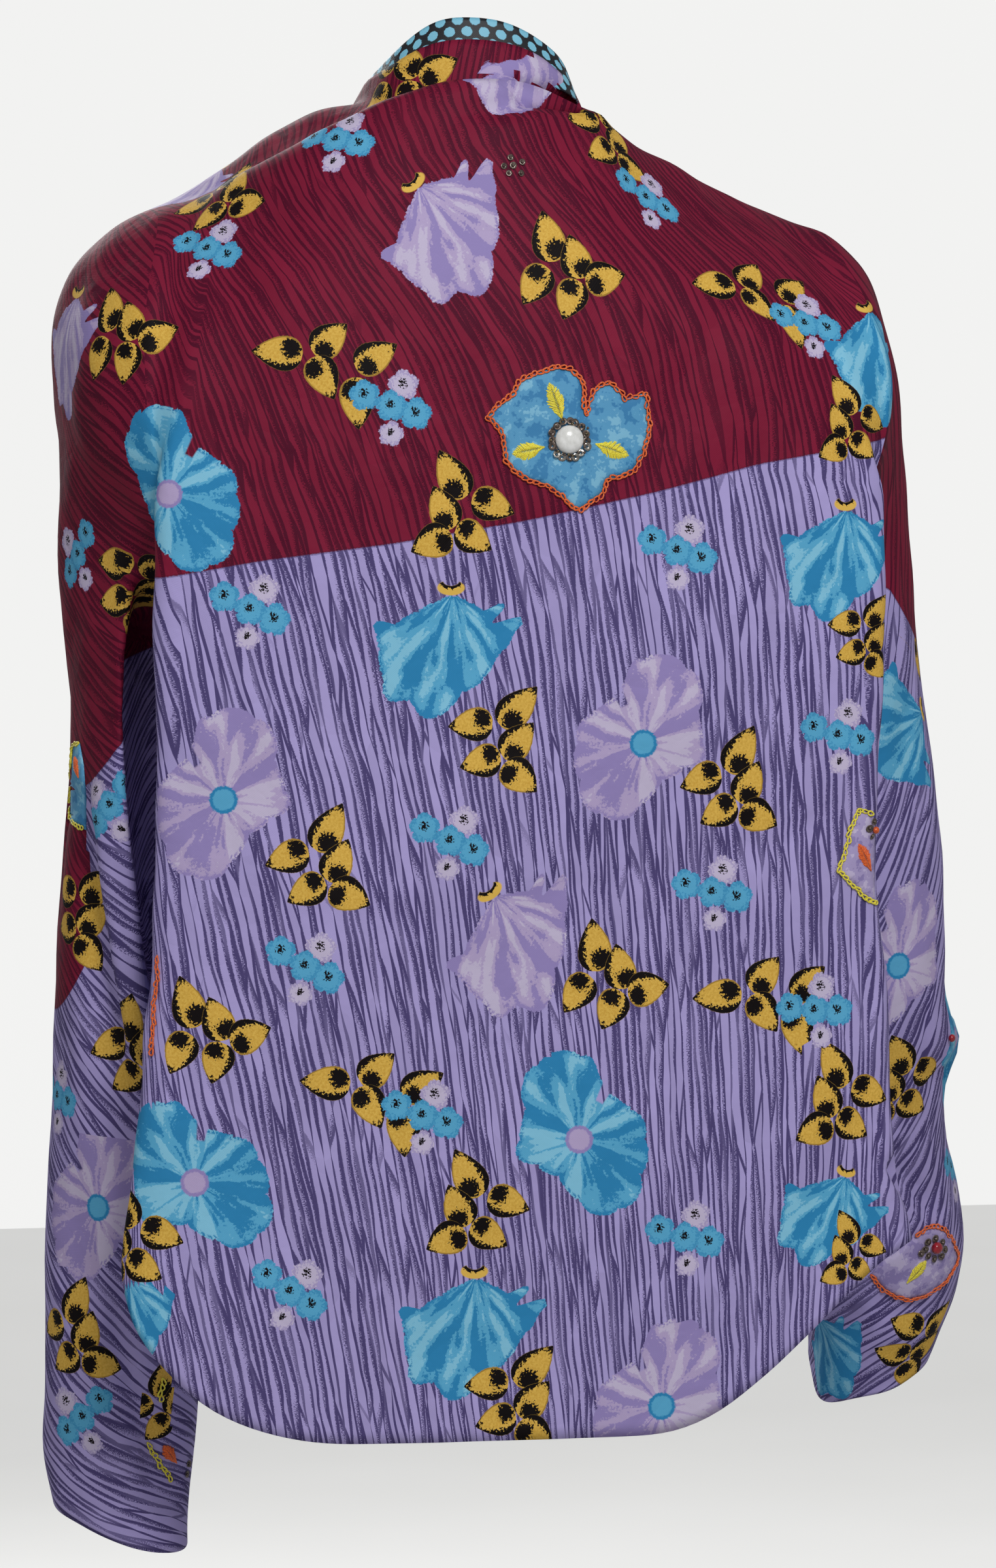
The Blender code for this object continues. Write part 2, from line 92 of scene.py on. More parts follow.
topNames = ("x", "valleyY", "valleyZ", "rollY", "rollZ")
topTable = (
    (-150, 3, -6, -16, -8), (-126, -8, 2, -21, 2.5), (-93, -27, 15, -45, 22), (-65, -36, 29, -56, 37.5),
    (-50, -39, 37, -61.5, 42.5), (-25, -51, 44.5, -66.3, 49.7), (0, -54, 46, -67, 52),
    (25, -51, 44, -62, 47.2), (50, -39, 37, -50, 41), (64, -25, 30, -36, 34), (80, -13, 18, -24, 20),
    (110, -2, 4, -12, 4.5), (170, 3, -15, -13, -17),
)
levelNames = ("z", "foldLeft", "foldRight", "middleY", "sideY")
levelTable = (
    (60, -150, 180, -62, -50), (20, -154, 184, -84, -66), (-40, -159, 187, -97, -78),
    (-120, -161.5, 188.5, -104, -85), (-180, -161.5, 188, -106, -88), (-240, -163, 184, -107, -89),
    (-300, -164.5, 181.5, -107, -89), (-360, -165.5, 186.5, -106, -88), (-430, -168.5, 191.5, -105, -88),
    (-475, -175, 195.5, -105, -87), (-500, -180, 204, -104, -87), (-600, -182, 205, -103, -88),
)
ringNames = ("outX", "outZ", "inX", "inZ", "midY", "back", "front", "push", "tilt")
edgeNames = ("row", "x", "y", "z")
edgeTable = (
    (0, -50, -39, 37), (1, -54, -12, 48), (2, -57, 14, 37), (3, -59, 36, 20), (4, -60, 54, 0),
    (5, -60, 68, -22), (7, -60, 84, -68), (10, -59, 94, -135), (14, -58, 99, -215), (20, -60, 100, -305),
    (27, -78, 97, -385),
)
left = {
    "sign": -1, "fold": "foldLeft", "foldHem": -509, "hemWidth": 105, "hemPowers": (2, 0.5),
    "turnX": -123, "turnHem": -486, "seamX": -107, "seamHem": -472, "creaseReach": (50, 12),
    "edgeDrop": 0, "bulge": 0, "drape": 10, "ridge": ((-125, 6, 7), (-82, -8, 49)),
    "rings": (
        (-150, -6, -115, -232, 3, 79, 75, -30, 0), (-172, -18, -119, -239, 5, 74, 71, -22, 0),
        (-190, -35, -122, -246, 7, 68, 66, -15, 0), (-200, -62, -124, -252, 9, 62, 61, -9, 0),
        (-198, -112, -125, -262, 10, 56, 56, -4, 0), (-194.5, -180, -126, -280, 10, 52, 52, 0, 0),
        (-191.5, -240, -126.5, -305, 11, 50, 49, 0, 0), (-197, -315, -127, -352, 14, 47, 46, 0, 0),
        (-200, -420, -127, -432, 20, 43, 42, 0, 0), (-203.5, -530, -129, -532, 28, 39, 39, 0, 0),
        (-205, -600, -134, -618, 35, 36, 36, 0, 0), (-199, -636, -134, -656, 38, 35, 35, 0, 8),
    ),
}
right = {
    "sign": 1, "fold": "foldRight", "foldHem": -500, "hemWidth": 128, "hemPowers": (1.8, 1.7),
    "turnX": 134, "turnHem": -478, "seamX": 116, "seamHem": -466, "creaseReach": (70, 12),
    "edgeDrop": 9, "bulge": 20, "drape": 0, "ridge": ((122, 10, -4), (80, 2, 17)),
    "rings": (
        (170, -15, 124, -232, 3, 79, 75, 41, 0), (187, -28, 129, -239, 5, 74, 71, 31, 0),
        (198, -50, 132.5, -246, 7, 68, 66, 19, 0), (209, -80, 135, -252, 9, 62, 61, 10, 0),
        (212.5, -128, 137, -262, 10, 56, 56, 5, 0), (220, -186, 139, -282, 10, 52, 52, 0, 0),
        (230, -250, 141, -310, 10, 50, 50, 0, 0), (235, -320, 143, -360, 14, 48, 48, 0, 0),
        (240, -385, 148, -410, 20, 46, 46, 0, 0), (248, -450, 160, -466, 42, 43, 43, 0, 6),
        (264, -515, 178, -528, 68, 40, 40, 0, 14), (264, -547, 191, -573, 90, 37, 37, 0, 18),
        (256, -568, 195, -588, 97, 36, 36, 0, 20),
    ),
}
collarNames = ("left", "right", "lean")
collarTable = (
    (26.6, 26.6, 17), (27.1, 25.6, 17), (28, 23.5, 17), (27.7, 21.4, 17), (23.5, 18.3, 17),
    (8.4, 8.4, 17), (8.4, 8.4, 24), (8.4, 8.4, 36), (8.4, 8.4, 50), (8, 8, 62),
)
cloth = {
    "flatness": 2.4, "rollRows": (1.5, 5.5), "rollSwell": 4.5, "rollDrop": 9, "rollReach": 80,
    "valleyRise": (0.55, 0.72), "foldRadius": 8, "armholeLevel": -250, "hemLowest": -588,
    "sideY": 3, "turnY": -58, "turnDepth": 2.2, "turnLift": 7, "turnStart": 0.4, "foldLead": 20,
    "widestLevel": -120, "drapeTop": (-196, -225), "drapeFoot": (-167, -455), "drapeEdge": 9,
    "drapeFade": 45, "elbow": (-418, 20, math.radians(-34), math.radians(26)),
    "chestFullness": 12, "chestLift": 4, "sideFullness": 8, "sideForward": 50, "sideFall": 0.1,
    "frontY": 98, "frontInset": 4, "frontFall": 0.45, "collarCurl": 1.6, "neckShift": 0.85,
    "thickness": 1.2,      # outer silk and lining together
    "fineness": 2,         # rounds of subdivision: points about 5.5 mm apart
}
# rows of the grids down to the widest place, the armhole's foot and the hem, and their columns
widestRow, armholeRow, lastRow = 7, 14, 27
turnColumns, panelColumns, neckColumns = 8, 16, 8
collarFrontRows, collarRows = 5, 2
backColumns = panelColumns + 2 * turnColumns
shoulderColumns = (backColumns - neckColumns) // 2
ringPoints = 2 * armholeRow


def drapeWeight(point):
    top, foot = cloth["drapeTop"], cloth["drapeFoot"]
    edgeX = mix(top[0], foot[0], (point.z - top[1]) / (foot[1] - top[1]))
    return (smooth(0, cloth["drapeEdge"], point.x - edgeX)
            * smooth(top[1] + cloth["drapeFade"], top[1], point.z)
            * smooth(foot[1] - cloth["drapeFade"], foot[1], point.z))


def ringPoint(side, place, step):
    ring = readRow(side["rings"], ringNames, place)
    angle = 2 * math.pi * step / ringPoints
    outward, across = math.cos(angle), math.sin(angle)
    middleX = (ring["outX"] + ring["inX"]) / 2
    middleZ = (ring["outZ"] + ring["inZ"]) / 2
    point = Vector((
        middleX + outward * (ring["outX"] - middleX) + across ** 2 * ring["push"],
        ring["midY"] - across * (ring["back"] if across > 0 else ring["front"]),
        middleZ + outward * (ring["outZ"] - middleZ) - across * ring["tilt"],
    ))
    if side["drape"]:
        point.y -= side["drape"] * drapeWeight(point) * smooth(0, 0.6, across) * smooth(0, 4, place)
    if side["bulge"]:
        elbowZ, height, turn, spread = cloth["elbow"]
        around = (math.remainder(angle, 2 * math.pi) - turn) / spread
        point.x += side["sign"] * side["bulge"] * math.exp(-around ** 2 - ((point.z - elbowZ) / height) ** 2)
    return point


def belowArmhole(row):
    return (row - armholeRow) / (lastRow - armholeRow)


def sideSeam(side, row):
    if row <= armholeRow:
        return ringPoint(side, 0, row)
    under = ringPoint(side, 0, armholeRow)
    fall = belowArmhole(row)
    return Vector((mix(under.x, side["seamX"], smooth(0, 0.5, fall)), cloth["sideY"],
                   mix(under.z, side["seamHem"], fall)))


def backDepth(x, z):
    level = readAt(levelTable, levelNames, z)
    half = level["foldRight"] if x > 0 else -level["foldLeft"]
    return mix(level["middleY"], level["sideY"], min(abs(x) / half, 1) ** cloth["flatness"])


def hemLevel(x):
    side = right if x > 0 else left
    edge = readAt(levelTable, levelNames, side["foldHem"])[side["fold"]]
    part = min(max(1 - (abs(edge) - abs(x)) / side["hemWidth"], 0), 1)
    power, fall = side["hemPowers"]
    return mix(cloth["hemLowest"], side["foldHem"], 1 - (1 - part ** power) ** fall)


def rowFall(row):
    start = ringPoint(left, 0, 2).z
    fall = (start - ringPoint(left, 0, min(row, widestRow)).z) / (start - cloth["armholeLevel"])
    return mix(fall, 1, (row - widestRow) / (armholeRow - widestRow)) if row > widestRow else fall


def backSurface(x, row):
    top = readAt(topTable, topNames, x)
    if row == 0:
        return Vector((x, top["valleyY"], top["valleyZ"]))
    if row == 1:
        riseY, riseZ = cloth["valleyRise"]
        return Vector((x, mix(top["valleyY"], top["rollY"], riseY), mix(top["valleyZ"], top["rollZ"], riseZ)))
    if row <= armholeRow:
        z = mix(top["rollZ"], cloth["armholeLevel"], rowFall(row) * smooth(*cloth["rollRows"], row))
        drop = top["rollZ"] - z
        above = 1 - min(drop / cloth["rollReach"], 1)
        swell = cloth["rollSwell"] * drop / cloth["rollDrop"] * math.exp(1 - drop / cloth["rollDrop"])
        return Vector((x, mix(backDepth(x, z), top["rollY"], above ** 2) - swell, z))
    z = mix(cloth["armholeLevel"], hemLevel(x), belowArmhole(row))
    return Vector((x, backDepth(x, z), z))


def foldRadius(row):
    return cloth["foldRadius"] * smooth(widestRow - 2, widestRow + 3, row)


def foldInset(side, row):
    if row <= widestRow:
        return ringPoint(side, 0, row).x - side["sign"] * mix(*side["creaseReach"], row / widestRow)
    if row <= armholeRow:
        z = mix(cloth["widestLevel"], cloth["armholeLevel"], (row - widestRow) / (armholeRow - widestRow))
    else:
        z = mix(cloth["armholeLevel"], side["foldHem"], belowArmhole(row))
    return readAt(levelTable, levelNames, z)[side["fold"]] - side["sign"] * foldRadius(row)


def turnedIn(side, row):
    sign = side["sign"]
    inset = foldInset(side, row)
    outer = backSurface(inset, row)
    seam = sideSeam(side, row)
    if row <= widestRow:
        miss = seam - backSurface(seam.x, row)
        parts = [column / turnColumns for column in range(turnColumns + 1)]
        return [backSurface(mix(seam.x, inset, part), row) + miss * (1 - smooth(0, 1, part))
                for part in parts]
    fall = max(belowArmhole(row), 0)
    lift = mix(cloth["armholeLevel"], side["foldHem"], fall) - outer.z if fall else 0
    radius = foldRadius(row)
    edge = outer + Vector((sign * radius, radius, lift))
    inner = outer + Vector((0, cloth["turnDepth"] * radius, lift + cloth["turnLift"] * fall))
    corner = Vector((side["turnX"], cloth["turnY"], mix(cloth["armholeLevel"], side["turnHem"], fall)))
    inner = edge.lerp(seam, cloth["turnStart"]).lerp(inner, smooth(widestRow, widestRow + 4, row))
    corner = inner.lerp(seam, 0.5).lerp(corner, smooth(widestRow + 1, armholeRow, row))
    within = backSurface(inset - sign * cloth["foldLead"], row)
    stops = [seam * 2 - corner, seam, corner, inner, edge, outer, within]
    perStop = turnColumns // 4
    columns = [spline(*stops[stop - 1:stop + 3], step / perStop) for stop in range(1, 5)
               for step in range(perStop)]
    return columns + [outer]


def backRow(row):
    start, end = foldInset(left, row), foldInset(right, row)
    panel = [backSurface(mix(start, end, column / panelColumns), row)
             for column in range(1, panelColumns)]
    return turnedIn(left, row) + panel + turnedIn(right, row)[::-1]


def frontEdge(side, row):
    if row == 0:
        return backRow(0)[shoulderColumns if side is left else backColumns - shoulderColumns]
    edge = readAt(edgeTable, edgeNames, row)
    drop = side["edgeDrop"] * (1 - smooth(1, 6, row))
    return Vector((-side["sign"] * edge["x"], edge["y"], edge["z"] - drop))


def frontRow(side, row):
    sign = side["sign"]
    if row == 0:
        return (backRow(0) if side is left else backRow(0)[::-1])[:shoulderColumns + 1]
    start = ringPoint(side, 0, ringPoints - row) if row <= armholeRow else sideSeam(side, row)
    end = frontEdge(side, row)
    third = (end - start) / 3
    full = cloth["chestFullness"] * smooth(0, 5, row)
    first = start + third + Vector((0, full, cloth["chestLift"]))
    second = end - third + Vector((0, full * 0.6, cloth["chestLift"]))
    if row == 1:
        first, second = (Vector(point) for point in side["ridge"])
    below = smooth(widestRow, armholeRow, row)
    full = cloth["sideFullness"] * smooth(armholeRow, armholeRow + 6, row)
    roundSide = start + Vector((sign * full, cloth["sideForward"], (end.z - start.z) * cloth["sideFall"]))
    roundFront = Vector((start.x - sign * cloth["frontInset"], cloth["frontY"],
                         mix(start.z, end.z, cloth["frontFall"])))
    first, second = first.lerp(roundSide, below), second.lerp(roundFront, below)
    return [bezier(start, first, second, end, column / shoulderColumns)
            for column in range(shoulderColumns + 1)]


def collarGrid():
    seam = [frontEdge(left, row) for row in range(collarFrontRows, 0, -1)]
    seam += backRow(0)[shoulderColumns:backColumns - shoulderColumns + 1]
    seam += [frontEdge(right, row) for row in range(1, collarFrontRows + 1)]
    rows = [[] for _ in range(collarRows + 1)]
    for column, point in enumerate(seam):
        fromNape = column - neckColumns // 2 - collarFrontRows
        shape = dict(zip(collarNames, collarTable[abs(fromNape)]))
        width = shape["right" if fromNape > 0 else "left"]
        lean = math.radians(shape["lean"])
        inward = Vector((-point.x, max(point.y, 0) * cloth["neckShift"] - point.y, 0)).normalized()
        for row, line in enumerate(rows):
            rise = row / collarRows
            line.append(point + Vector((0, 0, width * math.cos(lean) * rise))
                        + inward * width * math.sin(lean) * rise ** cloth["collarCurl"])
    return rows


patches = {"back": [backRow(row) for row in range(lastRow + 1)]}
for name, side in (("Left", left), ("Right", right)):
    patches["sleeve" + name] = [[ringPoint(side, ring / 2, step) for step in range(ringPoints + 1)]
                                for ring in range(2 * len(side["rings"]) - 1)]
    patches["front" + name] = [frontRow(side, row) for row in range(lastRow + 1)]
patches["collar"] = collarGrid()
pieceNumber = {name: number for number, name in enumerate(patches)}
print("sections laid out:", ", ".join(patches))


# The cloth: sewn together, made fine, and creased

def sewn(grids, name):
    mesh = bmesh.new()
    piece = mesh.faces.layers.int.new("piece")
    flat = mesh.loops.layers.uv.new("flat")
    for number, (rows, places) in enumerate(grids):
        made = [[mesh.verts.new(point) for point in row] for row in rows]
        for row in range(len(rows) - 1):
            for column in range(len(rows[0]) - 1):
                corners = ((row, column), (row + 1, column), (row + 1, column + 1), (row, column + 1))
                face = mesh.faces.new([made[r][c] for r, c in corners])
                face[piece] = number
                for loop, (r, c) in zip(face.loops, corners):
                    loop[flat].uv = places[r][c]
    bmesh.ops.remove_doubles(mesh, verts=mesh.verts, dist=0.01)
    bmesh.ops.recalc_face_normals(mesh, faces=mesh.faces)
    if sum(face.normal.dot(face.calc_center_median()) for face in mesh.faces) < 0:
        bmesh.ops.reverse_faces(mesh, faces=mesh.faces)
    mesh.normal_update()
    data = bpy.data.meshes.new(name)
    mesh.to_mesh(data)
    mesh.free()
    return data


def subdivide(rounds):
    return ("SUBSURF", {"levels": rounds, "render_levels": rounds, "uv_smooth": "NONE",
                        "boundary_smooth": "PRESERVE_CORNERS"})


def withModifiers(data, name, *modifiers):
    helper = bpy.data.objects.new(name + "Helper", data)
    scene.collection.objects.link(helper)
    for kind, settings in modifiers:
        modifier = helper.modifiers.new(kind, kind)
        for key, value in settings.items():
            setattr(modifier, key, value)
    bpy.context.view_layer.update()
    done = bpy.data.meshes.new_from_object(helper.evaluated_get(bpy.context.evaluated_depsgraph_get()))
    bpy.data.objects.remove(helper)
    done.name = name
    return done


def placesByArc(rows):
    # across and down the cloth in mm, measured along it from the middle of the piece
    middle = len(rows[0]) // 2
    places = []
    for row in rows:
        across = [0] * len(row)
        for column in range(middle + 1, len(row)):
            across[column] = across[column - 1] + (row[column] - row[column - 1]).length
        for column in range(middle - 1, -1, -1):
            across[column] = across[column + 1] - (row[column] - row[column + 1]).length
        places.append([(value + row[middle].x, -point.z) for value, point in zip(across, row)])
    for row in range(min(4, len(rows) - 2), -1, -1):
        for column in range(len(rows[0])):
            step = (rows[row][column] - rows[row + 1][column]).length
            places[row][column] = (places[row][column][0], places[row + 1][column][1] - step)
    return places


grids = [(rows, placesByArc(rows)) for rows in patches.values()]
fine = withModifiers(sewn(grids, "sewnCloth"), "fineCloth", subdivide(cloth["fineness"]))


def valuesOf(items, name, width=1, kind=float):
    # one property of every item of a mesh
    values = np.empty(len(items) * width, kind)
    items.foreach_get(name, values)
    return values.reshape(-1, width) if width > 1 else values


points = valuesOf(fine.vertices, "co", 3)
normals = valuesOf(fine.vertices, "normal", 3)
loopVerts = valuesOf(fine.loops, "vertex_index", kind=int)
faceVerts = loopVerts.reshape(-1, 4)
facePiece = valuesOf(fine.attributes["piece"].data, "value", kind=int)
print("cloth made fine:", len(fine.polygons), "faces")

# the photograph's view: 3 m off, a little to the wearer's left of straight behind, looking slightly down
view = {"azimuth": -10, "elevation": 4, "distance": 3000,
        "width": 1524, "height": 2400, "origin": (718, 300)}
pixelSize = 0.315      # mm at the nape
azimuth, elevation = math.radians(view["azimuth"]), math.radians(view["elevation"])
viewRight = Vector((math.cos(azimuth), math.sin(azimuth), 0))
viewIn = Vector((-math.sin(azimuth) * math.cos(elevation), math.cos(azimuth) * math.cos(elevation),
                 -math.sin(elevation)))
viewUp = viewRight.cross(viewIn)
eye = -((view["origin"][0] - view["width"] / 2) * pixelSize * viewRight
        + (view["height"] / 2 - view["origin"][1]) * pixelSize * viewUp
        + view["distance"] * viewIn)


def inPhoto(where):
    # photo pixels of points in mm
    away = np.asarray(where) - np.array(eye)
    depth = away @ np.array(viewIn)
    scale = view["distance"] / pixelSize / depth
    return np.stack([view["width"] / 2 + away @ np.array(viewRight) * scale,
                     view["height"] / 2 - away @ np.array(viewUp) * scale], axis=-1)


def photoRay(x, y):
    return (viewIn * view["distance"] + viewRight * (x - view["width"] / 2) * pixelSize
            + viewUp * (view["height"] / 2 - y) * pixelSize).normalized()


def alongLine(spots, line):
    # distance of each spot from a line through points, its side of the line, and how far along it lies
    line = np.array(line, float)
    best = np.full(len(spots), 1e9)
    side, along = np.zeros(len(spots)), np.zeros(len(spots))
    lengths = np.linalg.norm(np.diff(line, axis=0), axis=1)
    total, done = lengths.sum(), 0
    for start, step, length in zip(line, np.diff(line, axis=0), lengths):
        part = np.clip(((spots - start) @ step) / length ** 2, 0, 1)
        off = spots - (start + part[:, None] * step)
        distance = np.linalg.norm(off, axis=1)
        nearer = distance < best
        best[nearer] = distance[nearer]
        side[nearer] = np.sign(step[0] * off[nearer, 1] - step[1] * off[nearer, 0])
        along[nearer] = (done + part[nearer] * length) / total
        done += length
    return best, side, along


def onPiece(name):
    # which points lie on one piece of the cloth
    mask = np.zeros(len(points), bool)
    mask[faceVerts[facePiece == pieceNumber[name]].ravel()] = True
    return mask


def near(middle, reach):
    # 1 at a pixel of the photograph, falling off over so many mm
    distance = np.hypot(*(spots - middle).T) * pixelSize
    return np.exp(-(distance / reach) ** 2)


# creases as the photograph shows them: a line in its pixels, depth and half width in mm, how far the cloth
# on one side of the line stands over the other, and the parts over which it fades in and out
creases = {
    "napeLip": (((930, 158), (900, 151), (860, 149), (820, 153), (770, 166), (710, 176), (650, 180)),
                7, 4.6, -3.2, 0, 0.5),
    "napeUpper": (((750, 128), (793, 137), (840, 149), (896, 158)), 8, 4, -3, 0.5, 0.05),
    "pressedAcross": (((250, 1424), (324, 1420), (600, 1415), (800, 1388), (1000, 1345), (1196, 1288),
                       (1253, 1261), (1314, 1238)), 1.4, 3, 0.4, 0.05, 0.05),
    "centreFaint": (((806, 1960), (803, 2080), (806, 2200)), 0.5, 3.5, 0, 0.3, 0.1),
    "elbowDiagonal": (((1362, 1775), (1395, 1822), (1436, 1868)), 5, 4.5, 3, 0.1, 0.2),
    "elbowUpper": (((1462, 1622), (1440, 1640), (1400, 1642)), 3, 5.5, 1, 0.1, 0.4),
    "leftShoulder": (((300, 430), (250, 560), (225, 700)), 1.6, 9, 0, 0.3, 0.4),
    "leftSleeveLong": (((150, 640), (158, 860), (150, 1040), (170, 1200)), 1.8, 8, 0, 0.3, 0.3),
    "rightShoulder": (((1240, 470), (1290, 620), (1310, 800)), 1.6, 10, 0, 0.3, 0.4),
    "rightSleeveLong": (((1385, 1010), (1388, 1180), (1396, 1330)), 1.6, 7, 0, 0.3, 0.3),
    "elbowLower": (((1330, 1990), (1378, 2008), (1430, 1996)), 3, 6, 1.5, 0.3, 0.3),
    "leftFoldEdge": (((127, 1180), (128, 1215), (138, 1280), (148, 1394), (160, 1470), (178, 1585),
                      (186, 1660)), 6, 4.5, -6, 0.12, 0.2),
    "leftInner": (((182, 1960), (176, 2040), (196, 2110), (226, 2190), (240, 2300)), 4.5, 6.5, 1.5, 0.3, 0.2),
    "leftMiddle": (((112, 1760), (122, 1880), (150, 2010), (170, 2090)), 2.4, 9, 0, 0.4, 0.4),
    "cuffLeft": (((110, 2120), (170, 2160), (240, 2180)), 1.4, 7, 0, 0.3, 0.3),
}
facing = normals @ np.array(viewIn) < -0.05
spots = inPhoto(points)
moved = points.copy()
for line, depth, half, step, fadeIn, fadeOut in creases.values():
    distance, side, along = alongLine(spots, line)
    distance *= pixelSize
    ends = smooth(0, max(fadeIn, 0.01), along) * smooth(0, max(fadeOut, 0.01), 1 - along)
    dent = np.exp(-(distance / half) ** 2)
    lip = step * side * np.exp(-(distance / (2.5 * half)) ** 2) * (1 - dent)
    moved += normals * ((lip - depth * dent) * ends * facing)[:, None]

# the elbow stands out at the right: middle in pixels, reach and height in mm, and where it starts
bulge = {"middle": (1462, 1592), "reach": 16, "height": 5.5, "from": 225}
stands = bulge["height"] * near(bulge["middle"], bulge["reach"]) * (points[:, 0] > bulge["from"])
moved += normals * stands[:, None]
# the right cuff's lower corner hangs out to a point: middle in pixels, reach and pull in mm
cuffCorner = {"middle": (1270, 2106), "reach": 13, "right": -5, "up": -10}
pull = np.array(viewRight) * cuffCorner["right"] + np.array(viewUp) * cuffCorner["up"]
hangs = near(cuffCorner["middle"], cuffCorner["reach"]) * onPiece("sleeveRight")
moved += hangs[:, None] * pull

# slow swells all over, so no part of the cloth is dead flat: (length of a swell, height) in mm
swells = ((95, 1.5), (48, 0.8), (26, 0.35))
waves = {"count": 7, "steepest": 0.55, "firstSeed": 3}


def swell(where, length, seed):
    rng = random.Random(seed)
    total = np.zeros(len(where))
    for _ in range(waves["count"]):
        across = [rng.uniform(-size, size) for size in (1, 1, waves["steepest"])]
        across = np.array(across) * 2 * math.pi / (length * np.linalg.norm(across))
        total += np.sin(where @ across + rng.uniform(0, 6.28))
    return total / waves["count"] ** 0.5


for number, (length, height) in enumerate(swells):
    moved += normals * (height * swell(points, length, number + waves["firstSeed"]))[:, None]

# beside the left edge of the back the sleeve draws in, away from the light: a deep pocket between
# them, between these pixels across at these pixels down
pocket = {"edge": ((860, 196), (1000, 184), (1100, 182), (1300, 196), (1450, 214), (1560, 228)), "soft": 26,
          "from": (870, 1010), "to": (1480, 1600), "middleY": 22, "depthSoft": 12}
start = np.interp(spots[:, 1], *zip(*pocket["edge"]))
weight = (smooth(0, pocket["soft"], spots[:, 0] - start) * smooth(*pocket["from"], spots[:, 1])
          * (1 - smooth(*pocket["to"], spots[:, 1])) * onPiece("sleeveLeft")
          * smooth(pocket["middleY"], pocket["middleY"] - pocket["depthSoft"], moved[:, 1]))
moved[:, 1] += weight * (pocket["middleY"] - moved[:, 1])
points = moved
fine.vertices.foreach_set("co", points.ravel())
fine.update()
normals = valuesOf(fine.vertices, "normal", 3)
print("creases laid")


# Where the print lies on the cloth

flat = valuesOf(fine.uv_layers["flat"].uv, "vector", 2)
cornerPiece = np.repeat(facePiece, 4)
x, y, z = points[loopVerts].T

# the bark print runs down the cloth, leaning by so many degrees at so many mm below the nape
barkLean = {
    "backLeft": ((-70, 5), (-50, 8), (-30, 14), (0, 24), (20, 32), (47, 34), (79, 28), (110, 23), (142, 22),
                 (173, 16), (205, 14), (400, 12), (620, 12)),
    "backRight": ((-70, 15), (-50, 22), (-30, 32), (0, 38), (20, 36), (47, 24), (79, 10), (110, 5), (142, 6),
                  (205, 4), (620, 4)),
    "sleeveLeft": ((-20, 43), (60, 43), (120, 48), (200, 55), (300, 52), (450, 45), (550, 50), (600, 65),
                   (670, 75)),
    "sleeveRight": ((-20, 43), (60, 15), (120, 5), (200, -10), (260, -25), (400, -30), (480, -40), (560, -50),
                    (620, -60)),
}
# the middles of the sleeves: z, x, y
sleeveMiddle = {
    "sleeveLeft": ((-187, -161, 9), (-333, -162, 14), (-426, -163.5, 20), (-531, -166, 28),
                   (-609, -169.5, 35), (-646, -166.5, 38)),
    "sleeveRight": ((-195, 175, 10), (-234, 179.5, 10), (-280, 185.5, 10), (-340, 189, 14),
                    (-398, 194, 20), (-458, 204, 42), (-522, 221, 68), (-560, 227.5, 90), (-578, 225.5, 97)),
}
# the deep red of the shoulders ends at these levels: (x, z)
yokeLevel = {
    "back": ((-161, -180), (-115, -172), (-54, -164), (7, -154), (70, -141), (121, -128), (184, -117),
             (200, -112)),
    "leftDrape": ((-200, -310), (-188, -282), (-169, -251), (-167, -224), (-150, -216)),
    "leftUnder": ((-206, -425), (-200, -395), (-187, -365), (-150, -330), (-120, -300)),
    "sleeveRight": ((130, -170), (190, -185), (200, -190), (219, -215), (232, -226), (250, -230)),
    "frontLeft": ((-165, -180), (-60, -150)),
    "frontRight": ((60, -150), (190, -180)),
}
depths = np.arange(-80.0, 700.0, 1.0)


def readTable(table, values, column=1):
    order = sorted(table)
    return np.interp(values, [row[0] for row in order], [row[column] for row in order])


def leanSums(name, start):
    lean = np.radians(readTable(barkLean[name], depths))
    sums = {}
    for key, values in (("tan", np.tan(lean)), ("sin", np.sin(lean)), ("cos", np.cos(lean))):
        total = np.cumsum(values)
        sums[key] = total - np.interp(start, depths, total)
    return lean, sums


def barkOnBack(across, depth):
    shift = [np.interp(depth, depths, leanSums(name, 120)[1]["tan"]) for name in ("backLeft", "backRight")]
    return np.stack([(across - mix(shift[0], shift[1], smooth(-110, 150, across))) * 0.92, depth / 0.92],
                    axis=1)


def aroundSleeve(name, cut):
    # angle about the sleeve's middle, cut open along its inner front, whole for each face
    table = sleeveMiddle[name]
    angle = np.arctan2(x - readTable(table, z, 1), readTable(table, z, 2) - y)
    corners = np.where(angle > cut, angle - 2 * math.pi, angle) if cut > 0 else np.where(
        angle < cut, angle + 2 * math.pi, angle)
    corners = corners.reshape(-1, 4)
    first = corners[:, :1]
    return (corners - 2 * math.pi * np.round((corners - first) / (2 * math.pi))).ravel()


